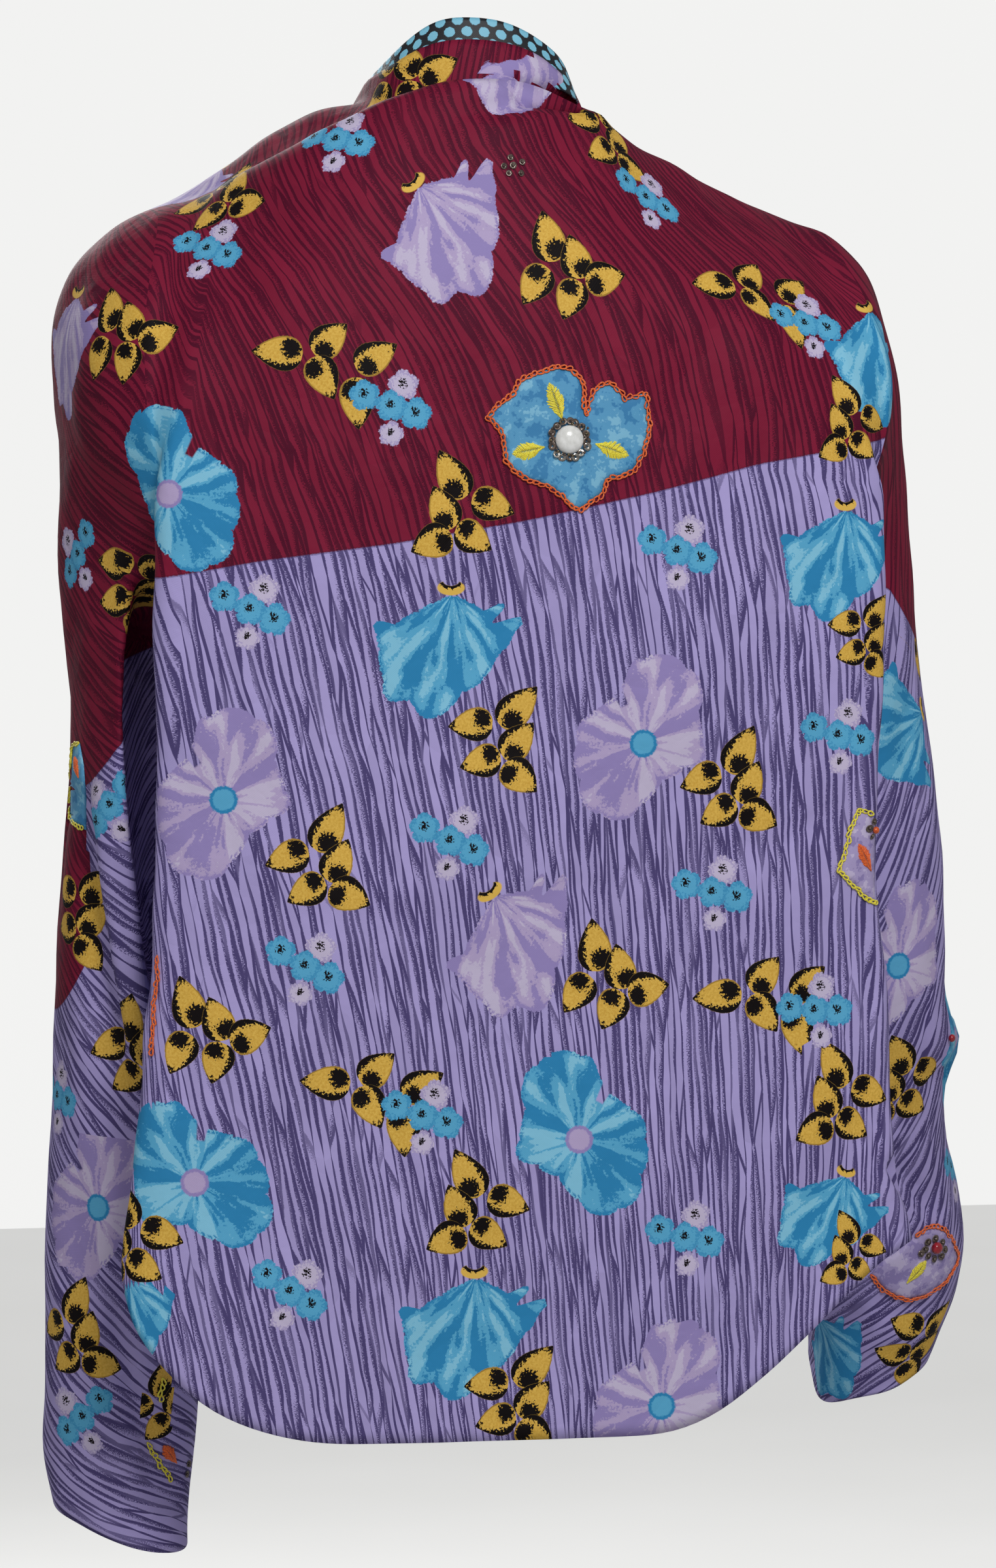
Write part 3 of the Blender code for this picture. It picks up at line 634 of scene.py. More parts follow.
bark = np.zeros((len(loopVerts), 3))
isBack = cornerPiece == pieceNumber["back"]
bark[isBack, :2] = barkOnBack(flat[isBack, 0], flat[isBack, 1])
bark[isBack, 2] = z[isBack] - readTable(yokeLevel["back"], x[isBack])
for name, cut, armhole in (("sleeveLeft", math.radians(135), -150), ("sleeveRight", math.radians(-135), 170)):
    here = cornerPiece == pieceNumber[name]
    around = 42 * aroundSleeve(name, cut)[here]
    lean, sums = leanSums(name, 60)
    leanHere = np.interp(-z[here], depths, lean)
    own = np.stack([around * np.cos(leanHere) - np.interp(-z[here], depths, sums["sin"]),
                    around * np.sin(leanHere) + np.interp(-z[here], depths, sums["cos"])], axis=1)
    onBack = barkOnBack(x[here], -z[here])
    upper = (z[here] > -90) & (y[here] < 5)
    own += (onBack[upper] - own[upper]).mean(axis=0)
    away = np.abs(x[here] - armhole) + np.clip(y[here] * 2, 0, 200) + np.clip(-z[here] - 120, 0, 200)
    share = smooth(5, 40, away)[:, None]
    bark[here, :2] = mix(onBack, own, share)
    if name == "sleeveLeft":
        top, foot = cloth["drapeTop"], cloth["drapeFoot"]
        edge = mix(top[0], foot[0], (z[here] - top[1]) / (foot[1] - top[1]))
        draped = ((x[here] > edge - 2) & (y[here] < 25)) | (z[here] > top[1] + 20)
        level = np.where(draped, readTable(yokeLevel["leftDrape"], x[here]),
                         readTable(yokeLevel["leftUnder"], x[here]))
    else:
        level = readTable(yokeLevel["sleeveRight"], x[here])
    bark[here, 2] = z[here] - level
for name in ("frontLeft", "frontRight", "collar"):
    here = cornerPiece == pieceNumber[name]
    bark[here, :2] = np.stack([flat[here, 0] * 0.95 - flat[here, 1] * 0.2 + 300 * pieceNumber[name],
                               flat[here, 1]], axis=1)
    if name == "collar":      # finer on the narrow band
        bark[here, :2] *= (1.5, 1.2)
    bark[here, 2] = 99 if name == "collar" else z[here] - readTable(yokeLevel[name], x[here])
print("bark print laid out")

# Every motif of the print by its place in the photograph: x, y, turn in degrees, kind.
# Sprigs are of two shapes (0 and 1; 2 is a single leaf); open flowers are lilac (0) or turquoise (1),
# and bells turquoise (0) or lilac (1). Ten more turns a motif over, left to right. A fifth number draws
# it so many times smaller, where the real cloth turns away more.
motifs = {
    "sprig": {"radius": 39, "spacing": 27, "kinds": (0, 1), "places": (
        (180, 516, 50, 1), (336, 300, 35, 1), (498, 564, 0, 0), (858, 414, 38, 1), (1158, 456, 0, 0),
        (708, 780, 0, 11), (1306, 648, 0, 11, 1.2), (210, 890, 0, 1), (762, 1128, -15, 1),
        (486, 1320, 0, 1), (1116, 1200, 0, 1), (1322, 970, -15, 1, 1.25), (312, 1584, 45, 1),
        (924, 1500, 35, 1), (570, 1680, 0, 0), (732, 1848, 0, 11), (1170, 1536, 10, 0), (1290, 1680, 0, 11),
        (1386, 1656, 10, 11), (786, 2136, -15, 1), (1306, 1914, 0, 11, 1.4), (1404, 2052, -30, 1),
        (108, 2040, 0, 1), (204, 1896, 0, 11), (120, 1392, -30, 1), (198, 1608, 0, 1), (606, 120, 60, 1),
        (924, 204, -20, 1), (1402, 1010, 90, 2), (1140, 2130, 20, 2), (246, 2150, 20, 1, 1.2))},
    "blossom": {"radius": 22, "spacing": 19, "kinds": (0,), "places": (
        (318, 384, -8, 0), (516, 216, 0, 0), (990, 306, -20, 0), (600, 624, -5, 0), (1234, 498, 0, 0),
        (384, 936, -10, 0), (1038, 846, -5, 0), (690, 1290, -10, 0), (468, 1482, -15, 0), (1284, 1128, 0, 0),
        (1092, 1368, 0, 0), (648, 1710, -5, 0), (1248, 1548, 10, 0), (444, 1980, -20, 0), (1050, 1896, 0, 0),
        (120, 852, 30, 10), (168, 1236, 30, 10), (126, 2172, 25, 10), (90, 1680, 0, 0))},
    "flower": {"radius": 41, "spacing": 32, "kinds": (0, 1), "places": (
        (342, 1224, 8, 0), (984, 1138, 0, 0), (1012, 2152, 0, 0), (430, 2200, 10, 0), (1374, 1478, 0, 0),
        (150, 1848, 0, 0), (298, 1810, 20, 11), (886, 1744, 0, 11), (258, 756, 0, 11))},
    "bell": {"radius": 46, "spacing": 32, "kinds": (0, 1), "places": (
        (672, 996, 0, 0), (1278, 858, 0, 0, 1.1), (708, 2040, 0, 0), (1262, 1862, -16, 0, 1.25),
        (1368, 1116, -60, 0), (206, 2014, 20, 0, 1.5), (1350, 552, 10, 0), (1268, 2074, 14, 0, 1.3),
        (684, 360, 40, 1), (786, 1452, 35, 1), (102, 540, 0, 1), (850, 142, 150, 1),
        (790, 152, 0, 1, 1.4), (290, 294, 0, 1, 1.4))},
}

# what a fold leaves of a motif, as a box of pixels
foldedMotifs = {(850, 142): (712, 84, 930, 132), (790, 152): (680, 112, 905, 200),
                (206, 2014): (120, 1968, 260, 2084), (246, 2150): (215, 2060, 262, 2260)}
raisedMotifs = {(790, 152): 10}      # its middle lies so many mm above its pixel, behind a fold
# motifs just round the edge of what shows: name, a pixel, mm further right and further in, turn, kind
roundEdge = (("flower", (1440, 1596), (14, 36), 0, 11), ("blossom", (1440, 1790), (10, 22), 0, 0))

tree = BVHTree.FromPolygons([tuple(point) for point in points], faceVerts.tolist())
neighbours = [[] for _ in range(len(points))]
for edge in fine.edges:
    start, end = edge.vertices
    neighbours[start].append(end)
    neighbours[end].append(start)
vertFaces = [[] for _ in range(len(points))]
for index, corners in enumerate(faceVerts.tolist()):
    for vert in corners:
        vertFaces[vert].append(index)
spotsIn3d = [Vector(point) for point in points]
vertNormals = [Vector(normal) for normal in normals]


def chartAround(face, where, up, radius):
    # flat map of the cloth round a point: each vertex's place across and up, carried from its neighbours
    normal = Vector(fine.polygons[face].normal)
    up = (up - normal * up.dot(normal)).normalized()
    frame = (up.cross(normal), up)
    settled, waiting, frames = {}, [], {}

    def carry(start, startNormal, startFrame, startPlace, vert):
        turn = startNormal.rotation_difference(vertNormals[vert])
        step = spotsIn3d[vert] - start
        place = (startPlace[0] + step.dot(startFrame[0]), startPlace[1] + step.dot(startFrame[1]))
        return place, (turn @ startFrame[0], turn @ startFrame[1])

    guesses = {}
    for vert in faceVerts[face].tolist():
        place, turned = carry(where, normal, frame, (0, 0), vert)
        guesses[vert] = [(place, turned)]
        heapq.heappush(waiting, (math.hypot(*place), vert))
    while waiting:
        distance, vert = heapq.heappop(waiting)
        if vert in settled:
            continue
        if distance > radius:
            break
        options = guesses[vert]
        place = (sum(option[0][0] for option in options) / len(options),
                 sum(option[0][1] for option in options) / len(options))
        if math.hypot(*place) < 0.8 * (spotsIn3d[vert] - where).length - 3:
            continue      # too crumpled here to lie flat
        settled[vert] = place
        frames[vert] = options[0][1]
        for other in neighbours[vert]:
            if other not in settled and (spotsIn3d[other] - where).length < radius:
                option = carry(spotsIn3d[vert], vertNormals[vert], frames[vert], settled[vert], other)
                guesses.setdefault(other, []).append(option)
                heapq.heappush(waiting, (math.hypot(*option[0]), other))
    return settled


farAway = 99.0
charts = {name: np.full((len(fine.polygons), 4, 3), farAway) for name in motifs}
nearest = {name: np.full(len(fine.polygons), 1e9) for name in motifs}
placed = []


def layMotif(name, face, where, up, turn, kind, shrink=1, window=None, raised=0, hidden=False):
    chart = chartAround(face, where, up, motifs[name]["radius"] + 7)
    if hidden and any(seenVert[vert] for vert in chart):
        return False
    cos, sin = math.cos(math.radians(turn)), math.sin(math.radians(turn))
    flip = -1 if kind >= 10 else 1
    turned = {}
    for vert, (across, height) in chart.items():
        height -= raised
        turned[vert] = (shrink * flip * (across * cos + height * sin),
                        shrink * (-across * sin + height * cos))
    for other in {face for vert in turned for face in vertFaces[vert]}:
        corners = faceVerts[other].tolist()
        if all(vert in turned for vert in corners) and (not window or inWindow(other, window)):
            places = np.array([turned[vert] for vert in corners])
            distance = np.hypot(*places.mean(axis=0))
            if distance < nearest[name][other]:
                nearest[name][other] = distance
                charts[name][other, :, :2] = places
                charts[name][other, :, 2] = kind % 10
    placed.append((name, where))
    return True


def inWindow(face, window):
    # whether a face shows inside a box of the photograph: left, top, right, bottom
    left, top, right, bottom = window
    across, down = spots[faceVerts[face]].mean(axis=0)
    return left < across < right and top < down < bottom


# what the camera sees of the cloth
spots = inPhoto(points)
seenVert = []
for vert, point in enumerate(spotsIn3d):
    hit = tree.ray_cast(eye, (point - eye).normalized())
    seenVert.append(hit[0] is not None and (hit[0] - point).length < 1.5)

for name, motif in motifs.items():
    for across, down, turn, kind, *shrink in motif["places"]:
        where, normal, face, _ = tree.ray_cast(eye, photoRay(across, down))
        if where:
            layMotif(name, face, where, viewUp, turn, kind, *shrink, window=foldedMotifs.get((across, down)),
                     raised=raisedMotifs.get((across, down), 0))
for name, spot, (right, deeper), turn, kind in roundEdge:
    where = tree.ray_cast(eye, photoRay(*spot))[0] + viewRight * right + viewIn * deeper
    where, normal, face, _ = tree.find_nearest(where)
    layMotif(name, face, where, Vector((0, 0, 1)), turn, kind)
seenPlaces = len(placed)

# the sides that the photograph doesn't show carry the same motifs, scattered
rng = random.Random(11)
centres = points[faceVerts].mean(axis=1)
order = list(range(len(centres)))
rng.shuffle(order)
names = ("sprig", "blossom", "bell", "sprig", "flower", "blossom")
turnNow = 0
for face in order:
    where = Vector(centres[face])
    name = names[turnNow % len(names)]
    motif = motifs[name]
    if any((where - other).length < 0.92 * (motif["spacing"] + motifs[kind]["spacing"])
           for kind, other in placed):
        continue
    if any(seenVert[vert] for vert in faceVerts[face].tolist()):
        continue
    turn, kind = rng.uniform(-35, 35), rng.choice(motif["kinds"])
    if layMotif(name, face, where, Vector((0, 0, 1)), turn, kind, hidden=True):
        turnNow += 1
print("motifs laid:", seenPlaces, "seen,", len(placed) - seenPlaces, "on the other sides")


def keepCorners(name, values):
    layer = fine.attributes.new(name, "FLOAT_VECTOR", "CORNER")
    layer.data.foreach_set("vector", np.ascontiguousarray(values, dtype=np.float32).ravel())


keepCorners("bark", bark)
for name, chart in charts.items():
    keepCorners(name, chart)


# Materials

def fromHex(text):
    levels = [int(text[i:i + 2], 16) / 255 for i in (1, 3, 5)]
    return tuple(v / 12.92 if v <= 0.04045 else ((v + 0.055) / 1.055) ** 2.4 for v in levels) + (1,)


def adderFor(tree):
    # a function that adds one node to this tree, with its settings and links
    def add(kind, *values, out=0, **settings):
        # a kind in capitals is a sum, and in small letters a sum on vectors; out=None gives all outputs
        isSum = kind.isupper() or kind.islower()
        made = tree.nodes.new("ShaderNode" + ("Math" if kind.isupper() else "VectorMath" if isSum else kind))
        if isSum:
            made.operation = kind.upper()
        if kind == "Mix":      # of two colours, unless the settings say otherwise
            made.data_type = "RGBA"
        for key, value in settings.items():
            setattr(made, key, value)
        for socket, value in zip([socket for socket in made.inputs if socket.enabled], values):
            if isinstance(value, bpy.types.NodeSocket):
                tree.links.new(value, socket)
            elif value is not None:
                socket.default_value = value
        outputs = [socket for socket in made.outputs if socket.enabled]
        if isinstance(out, str):
            return made.outputs[out]
        return outputs if out is None else outputs[out]

    return add


def newGroup(name, inputs, outputs):
    # a node group: its adder, what it is given, and how it hands its results out
    group = bpy.data.node_groups.new(name, "ShaderNodeTree")
    for way, sockets in (("INPUT", inputs), ("OUTPUT", outputs)):
        for title, kind in sockets.items():
            group.interface.new_socket(title, in_out=way, socket_type="NodeSocket" + kind)
    given, results = group.nodes.new("NodeGroupInput").outputs, group.nodes.new("NodeGroupOutput").inputs

    def handOut(*values):
        for value, socket in zip(values, results):
            group.links.new(value, socket)
        return group

    return adderFor(group), given, handOut


def newMaterial(name):
    # a material's adder, and how its shader is set: with links, or with numbers on its own sockets
    made = bpy.data.materials.new(name)
    made.use_nodes = True
    shader = made.node_tree.nodes["Principled BSDF"]

    def setShader(sockets):
        for title, value in sockets.items():
            if isinstance(value, bpy.types.NodeSocket):
                made.node_tree.links.new(value, shader.inputs[title])
            else:
                shader.inputs[title].default_value = value
        return made

    return adderFor(made.node_tree), setShader


inPlane = {"noise_dimensions": "2D"}
softStep = {"interpolation_type": "SMOOTHSTEP"}
printColours = {
    "red": "#811C38", "redLine": "#530E29", "lavender": "#AFA3D9", "lavenderLine": "#514779",
    "mustard": "#E6BC58", "mustardDeep": "#D6A846", "mustardRim": "#93702A", "ink": "#120D0E",
    "turquoise": "#5DAED6", "turquoiseDeep": "#3088BC", "turquoisePale": "#88C9E5",
    "lilac": "#B9A8D0", "lilacDeep": "#998AC2", "lilacPale": "#CABFDB",
}
tones = {name: fromHex(text) for name, text in printColours.items()}

# The bark of the ground, in mm: long pointed cells with an inked line between them, clean on one side.
# On its other side most lines carry fine barbs.
barkPrint = {
    "cellWidth": 3.9, "cellLength": 70, "scatter": 0.85, "waver": 2.6, "waverLength": 40,
    "line": (0.36, 0.80), "lineEdge": 0.16, "barb": (0.95, 0.34), "barbLength": 2.7, "barbed": (0.12, 0.3),
    "uprightLines": (0.86, 0.96), "fading": (0.28, 0.45, 0.74), "shade": (0.93, 1.06),
    "yokeWaver": 1, "yokeEdge": 0.35, "yokeRim": (0.3, 0.9, 0.55),
}


def barkGroup():
    add, given, handOut = newGroup("barkPrint", {"Place": "Vector"}, {"Colour": "Color", "Line": "Float"})
    across, down, yoke = add("SeparateXYZ", given[0], out=None)
    loose = add("CombineXYZ", add("DIVIDE", across, barkPrint["waverLength"] * 0.6),
                add("DIVIDE", down, barkPrint["waverLength"] * 1.6), 0)
    waver = add("SUBTRACT", add("TexNoise", loose, 1, **inPlane), 0.5)
    moved = add("MULTIPLY_ADD", waver, 2 * barkPrint["waver"], across)
    perMm = (1 / barkPrint["cellWidth"], 1 / barkPrint["cellLength"], 0)
    cell = add("multiply", add("CombineXYZ", moved, down, 0), perMm)
    (toFirst, own, first), (toSecond, _, second) = [
        add("TexVoronoi", cell, 1, None, None, None, barkPrint["scatter"], voronoi_dimensions="2D",
            feature=feature, out=None) for feature in ("F1", "F2")]
    # how far the line between this cell and the next one is, in mm
    between = add("subtract", second, first)
    betweenX = add("SeparateXYZ", between)
    gap = add("SUBTRACT", add("MULTIPLY", toSecond, toSecond), add("MULTIPLY", toFirst, toFirst))
    slope = add("length", add("multiply", between, perMm))
    toLine = add("DIVIDE", add("MULTIPLY", gap, 0.5), slope)
    upright = add("ABSOLUTE", add("DIVIDE", add("MULTIPLY", betweenX, perMm[0]), slope))
    upright = add("MapRange", upright, *barkPrint["uprightLines"])
    ownRed, ownGreen, ownBlue = add("SeparateColor", own, out=None)
    barbed = add("MULTIPLY", add("MapRange", ownRed, *barkPrint["barbed"], **softStep),
                 add("MapRange", betweenX, -0.05, 0.05, 0.12, 1))
    barbSize = (1 / barkPrint["barb"][0], 1 / barkPrint["barb"][1], 0)
    barbs = add("TexNoise", add("multiply", given[0], barbSize), 1, 1, 0.6, **inPlane)
    barbs = add("MapRange", barbs, 0.36, 0.66, 0, barkPrint["barbLength"])
    ragged = add("SUBTRACT", toLine, add("MULTIPLY", barbs, barbed))
    toEdge = add("SUBTRACT", ragged, add("MapRange", ownBlue, 0, 1, *barkPrint["line"]))
    line = add("MapRange", toEdge, -barkPrint["lineEdge"], barkPrint["lineEdge"], 1, 0, **softStep)
    # where lines thin out and stop
    fading = add("TexNoise", add("scale", cell, 0.9), 1, 1, **inPlane)
    line = add("MULTIPLY", line, add("MULTIPLY", add("MapRange", fading, *barkPrint["fading"], 1), upright))
    specks = add("TexNoise", add("scale", given[0], 1.6), 1, 2, 0.6, **inPlane)
    edge = add("MULTIPLY_ADD", add("SUBTRACT", specks, 0.5), barkPrint["yokeWaver"], yoke)
    red = add("MapRange", edge, -barkPrint["yokeEdge"], barkPrint["yokeEdge"], **softStep)
    rim = add("MapRange", add("ABSOLUTE", edge), *barkPrint["yokeRim"], 0, **softStep)
    ground = add("Mix", red, tones["lavender"], tones["red"])
    inked = add("Mix", red, tones["lavenderLine"], tones["redLine"])
    ground = add("scale", ground, add("MapRange", ownGreen, 0, 1, *barkPrint["shade"]))
    covered = add("MAXIMUM", line, rim)
    return handOut(add("Mix", covered, ground, inked), covered)


# A leaf in parts of its length and half width: its outline, the bend of its tip in mm, and the ink on it,
# which is a crescent down one side, a blot near the stalk and the tip.
leafPrint = {
    "outline": (0.5, 0.95, 2.65), "bend": 2.4, "rough": 0.7, "crescent": (0.46, 0.5), "crescentLean": -0.3,
    "tip": (0.84, 0.9), "blotAt": (-0.42, 0.24), "blotShape": (0.25, 0.85), "blot": (0.155, 0.17),
}


def leafGroup():
    inputs = {"Place": "Vector", "Base": "Vector", "Tip": "Vector", "Half": "Float", "Rough": "Float"}
    outputs = {"Inside": "Float", "Ink": "Float", "Rim": "Float"}
    add, given, handOut = newGroup("leafPrint", inputs, outputs)
    place, base, tipPlace, widest, grain = given[:5]
    along = add("subtract", tipPlace, base)
    length = add("length", along)
    off = add("subtract", place, base)
    part = add("DIVIDE", add("dot_product", off, along), add("MULTIPLY", length, length))
    side = add("DIVIDE", add("SeparateXYZ", add("cross_product", along, off), out="Z"), length)
    within = add("MapRange", part)
    nearBase, nearTip, full = leafPrint["outline"]
    half = add("MULTIPLY", add("POWER", within, nearBase),
               add("POWER", add("SUBTRACT", 1, within), nearTip))
    half = add("MULTIPLY", add("MULTIPLY", half, full), widest)
    side = add("SUBTRACT", side, add("MULTIPLY", add("POWER", within, 3), leafPrint["bend"]))
    rough = add("SUBTRACT", grain, 0.5)
    outside = add("SUBTRACT", add("ABSOLUTE", side), add("MULTIPLY_ADD", rough, leafPrint["rough"], half))
    inside = add("MapRange", outside, -0.25, 0.2, 1, 0, **softStep)
    inside = add("MULTIPLY", inside, add("COMPARE", part, 0.5, 0.49))
    sidePart = add("DIVIDE", side, add("MAXIMUM", half, 0.4))
    crescent = add("MULTIPLY_ADD", part, leafPrint["crescentLean"], add("MULTIPLY_ADD", rough, 0.9, sidePart))
    crescent = add("MapRange", crescent, *leafPrint["crescent"])
    tip = add("MapRange", add("MULTIPLY_ADD", rough, 0.45, part), *leafPrint["tip"])
    shapes = zip((sidePart, part), leafPrint["blotAt"], leafPrint["blotShape"])
    blotX, blotY = [add("MULTIPLY", add("SUBTRACT", value, middle), size) for value, middle, size in shapes]
    blot = add("MULTIPLY_ADD", rough, 0.3, add("length", add("CombineXYZ", blotX, blotY, 0)))
    blot = add("MULTIPLY", add("MapRange", blot, *leafPrint["blot"], 1, 0),
               add("MapRange", sidePart, -0.94, -0.86))
    ink = add("MAXIMUM", crescent, add("MAXIMUM", tip, blot))
    rim = add("MapRange", outside, -1, -0.5, 0, 0.8)
    return handOut(inside, add("MULTIPLY", ink, inside), add("MULTIPLY", rim, inside))


# A small flower head with five lobes, in parts of its radius, and a speckled inked middle.
floretPrint = {"lobes": 5, "reach": (0.78, 1.06), "rough": 2.2, "middleShift": (0.4, -0.8, 0),
               "ink": (0.36, 0.42), "specks": (0.1, 0.4, 0.40, 0.62)}


def floretGroup():
    inputs = {"Place": "Vector", "Middle": "Vector", "Radius": "Float", "Turn": "Float", "Rough": "Float"}
    outputs = {"Inside": "Float", "Ink": "Float", "Out": "Float"}
    add, given, handOut = newGroup("floretPrint", inputs, outputs)
    place, middle, radius, turn, grain = given[:5]
    off = add("subtract", place, middle)
    offX, offY, _ = add("SeparateXYZ", off, out=None)
    distance = add("length", off)
    wave = add("SINE", add("MULTIPLY_ADD", add("ARCTAN2", offY, offX), floretPrint["lobes"] / 2, turn))
    reach = add("MapRange", add("SQRT", add("ABSOLUTE", wave)), 0, 1, *floretPrint["reach"])
    ragged = add("MULTIPLY_ADD", add("SUBTRACT", grain, 0.5), floretPrint["rough"], distance)
    edge = add("SUBTRACT", ragged, add("MULTIPLY", reach, radius))
    inside = add("MapRange", edge, -0.2, 0.25, 1, 0, **softStep)
    shifted = add("length", add("add", off, floretPrint["middleShift"]))
    shifted = add("DIVIDE", shifted, radius)
    ink = add("SUBTRACT", grain, add("MapRange", shifted, *floretPrint["specks"]))
    ink = add("MULTIPLY", add("MapRange", ink, -0.02, 0.02),
              add("MapRange", shifted, *floretPrint["ink"], 1, 0))
    return handOut(inside, add("MULTIPLY", ink, inside), add("DIVIDE", distance, radius))


# leaves of the two sprigs: base and tip in mm from the middle, for shape 0 and shape 1, and half width
sprigLeaves = (
    ((-10.7, 5.2), (-34, 10.7), (-1.5, 5.9), (13.6, 26.3), 7.9),
    ((-6.4, 8.1), (11.4, 18.8), (-4, 4.6), (-25, 0.8), 7.7),
    ((-4.5, 5.8), (1.8, -15.2), (3.9, -8.2), (16.5, 9.6), 7.6),
    ((13.4, 1.4), (34.4, 9.3), (3.9, -9.5), (-15, -16.4), 7.6),
    ((15.5, -4), (13.1, -28.3), (6.5, -10.2), (23.3, -22), 8.1),
)
singleLeaf = {"number": 1, "base": (11, 0, 0), "tip": (-11, 0, 0), "half": 6}
# florets of the blossom: middle, radius, turn, and 1 for lilac
florets = (
    ((4.4, 11), 6.9, 0.4, 1), ((0.5, -12.2), 5.6, 1.1, 1), ((-13.4, 4.6), 6.9, 0.2, 0),
    ((11.2, -1.7), 7.3, 0.9, 0), ((-0.8, 0.8), 7, 0.5, 0),
)
# how far a flower reaches from its middle, in mm, by the angle in degrees from its right
openFlower = {
    "reach": ((-180, 33), (-155, 35), (-128, 40), (-105, 37), (-88, 29), (-55, 21), (-32, 24), (-8, 31),
              (15, 29), (40, 37), (68, 43), (92, 41), (112, 29), (132, 26), (152, 30), (180, 33)),
    "scallop": 2.6, "notch": (118, 5.5, 20), "middle": (5, 6.6), "strokes": (3.2, 30),
}
bellFlower = {
    "reach": ((-180, 29), (-158, 29), (-137, 33), (-120, 28), (-100, 32), (-75, 26), (-58, 23), (-35, 25),
              (-10, 27), (4, 33), (14, 37), (22, 42), (27, 29), (35, 38), (42, 28), (60, 27), (80, 26),
              (104, 22), (130, 22), (150, 25), (158, 33), (168, 30), (180, 29)),
    "scallop": 1.2, "top": (6, 27), "calyx": (5, 29.5, 6.6, 3.6), "hollow": (3.4, 1.2),
    "strokes": (4.2, 26),
}
widestReach = 50
brushwork = {"pale": (0.56, 0.585), "deep": (0.455, 0.48), "rim": (-2.4, -1), "rimBroken": (0.46, 0.5)}


def reachAt(add, angle, table):
    # the outline's distance from the middle, as a curve over the angle
    curved = add("FloatCurve", 1, add("MapRange", angle, -math.pi, math.pi))
    curve = curved.node.mapping.curves[0]
    places = [(degrees / 360 + 0.5, reach / widestReach) for degrees, reach in table]
    curve.points[0].location, curve.points[-1].location = places[0], places[-1]
    for place in places[1:-1]:
        curve.points.new(*place)
    curved.node.mapping.update()
    return add("MULTIPLY", curved, widestReach)


def brushTones(add, stroke, kind, outside, rough, first, second):
    # three tones of brushwork in either of two colours, with a broken darker rim
    pale = add("MapRange", stroke, *brushwork["pale"])
    deep = add("MapRange", stroke, *brushwork["deep"], 1, 0)
    rim = add("MULTIPLY", add("MapRange", outside, *brushwork["rim"]),
              add("MapRange", rough, *brushwork["rimBroken"]))
    colour = add("Mix", kind, tones[first], tones[second])
    for amount, suffix in ((pale, "Pale"), (add("MAXIMUM", deep, rim), "Deep")):
        colour = add("Mix", amount, colour, add("Mix", kind, tones[first + suffix], tones[second + suffix]))
    return colour


def flowerStart(add, given, form):
    across, up, kind = add("SeparateXYZ", given[0], out=None)
    place = add("CombineXYZ", across, up, 0)
    distance = add("length", place)
    angle = add("ARCTAN2", up, across)
    rough = add("SUBTRACT", given[1], 0.5)
    scallop = add("SQRT", add("ABSOLUTE", add("SINE", add("MULTIPLY", angle, 6))))
    reach = add("MULTIPLY_ADD", add("SUBTRACT", scallop, 0.8), form["scallop"],
                reachAt(add, angle, form["reach"]))
    outside = add("SUBTRACT", add("MULTIPLY_ADD", rough, 2.2, distance), reach)
    return place, kind, angle, rough, outside, add("MapRange", outside, -0.25, 0.25, 1, 0, **softStep)


def strokesFrom(add, place, rough, spread, length):
    # brush strokes that fan out from a point: noise along each direction
    part = add("DIVIDE", add("length", place), length)
    fan = add("multiply_add", add("normalize", place), (spread, spread, 0), add("CombineXYZ", 0, 0, part))
    return add("MULTIPLY_ADD", rough, 0.16, add("TexNoise", fan, 1, 2, 0.55))


def flowerGroup():
    add, given, handOut = newGroup("openFlowerPrint", {"Place": "Vector", "Rough": "Float"},
                                   {"Inside": "Float", "Colour": "Color"})
    place, kind, angle, rough, outside, inside = flowerStart(add, given, openFlower)
    distance = add("length", place)
    centre, width, start = openFlower["notch"]
    away = add("ABSOLUTE", add("SUBTRACT", angle, math.radians(centre)))
    notch = add("MULTIPLY", add("MapRange", away, *np.radians((width - 1, width + 1)).tolist(), 1, 0),
                add("MapRange", distance, start - 0.5, start + 0.5))
    stroke = strokesFrom(add, place, rough, *openFlower["strokes"])
    colour = brushTones(add, stroke, kind, outside, given[1], "lilac", "turquoise")
    disc, ring = openFlower["middle"]
    middle = add("MULTIPLY_ADD", rough, 1.6, distance)
    for reach, suffix in ((ring, "Deep"), (disc, "")):
        tone = add("Mix", kind, tones["turquoise" + suffix], tones["lilac" + suffix])
        colour = add("Mix", add("MapRange", middle, reach - 0.3, reach + 0.3, 1, 0), colour, tone)
    return handOut(add("MULTIPLY", inside, add("SUBTRACT", 1, notch)), colour)


def bellGroup():
    add, given, handOut = newGroup("bellPrint", {"Place": "Vector", "Rough": "Float"},
                                   {"Inside": "Float", "Colour": "Color", "Calyx": "Float", "Ink": "Float"})
    place, kind, _, rough, outside, inside = flowerStart(add, given, bellFlower)
    fromTop = add("subtract", place, (*bellFlower["top"], 0))
    stroke = strokesFrom(add, fromTop, rough, *bellFlower["strokes"])
    colour = brushTones(add, stroke, kind, outside, given[1], "turquoise", "lilac")
    # the calyx is an oval with a narrower oval cut out of it, a little above its own middle
    x, y, halfWidth, halfHeight = bellFlower["calyx"]
    ovals = []
    for raised, narrower in ((0, 1), bellFlower["hollow"]):
        off = add("subtract", place, (x, y + raised, 0))
        off = add("multiply", off, (narrower / halfWidth, 1 / halfHeight, 0))
        ovals.append(add("length", off))
    cap, hollow = ovals
    calyx = add("MULTIPLY", add("MapRange", cap, 0.93, 1.05, 1, 0), add("MapRange", hollow, 0.66, 0.76))
    ink = add("MapRange", add("SUBTRACT", given[1], hollow), -0.62, -0.56)
    return handOut(inside, colour, calyx, add("MULTIPLY", calyx, ink))


def onObject(add, size):
    # where on the object, in units of so many mm
    return add("scale", add("TexCoord", out="Object"), 1 / mm / size)


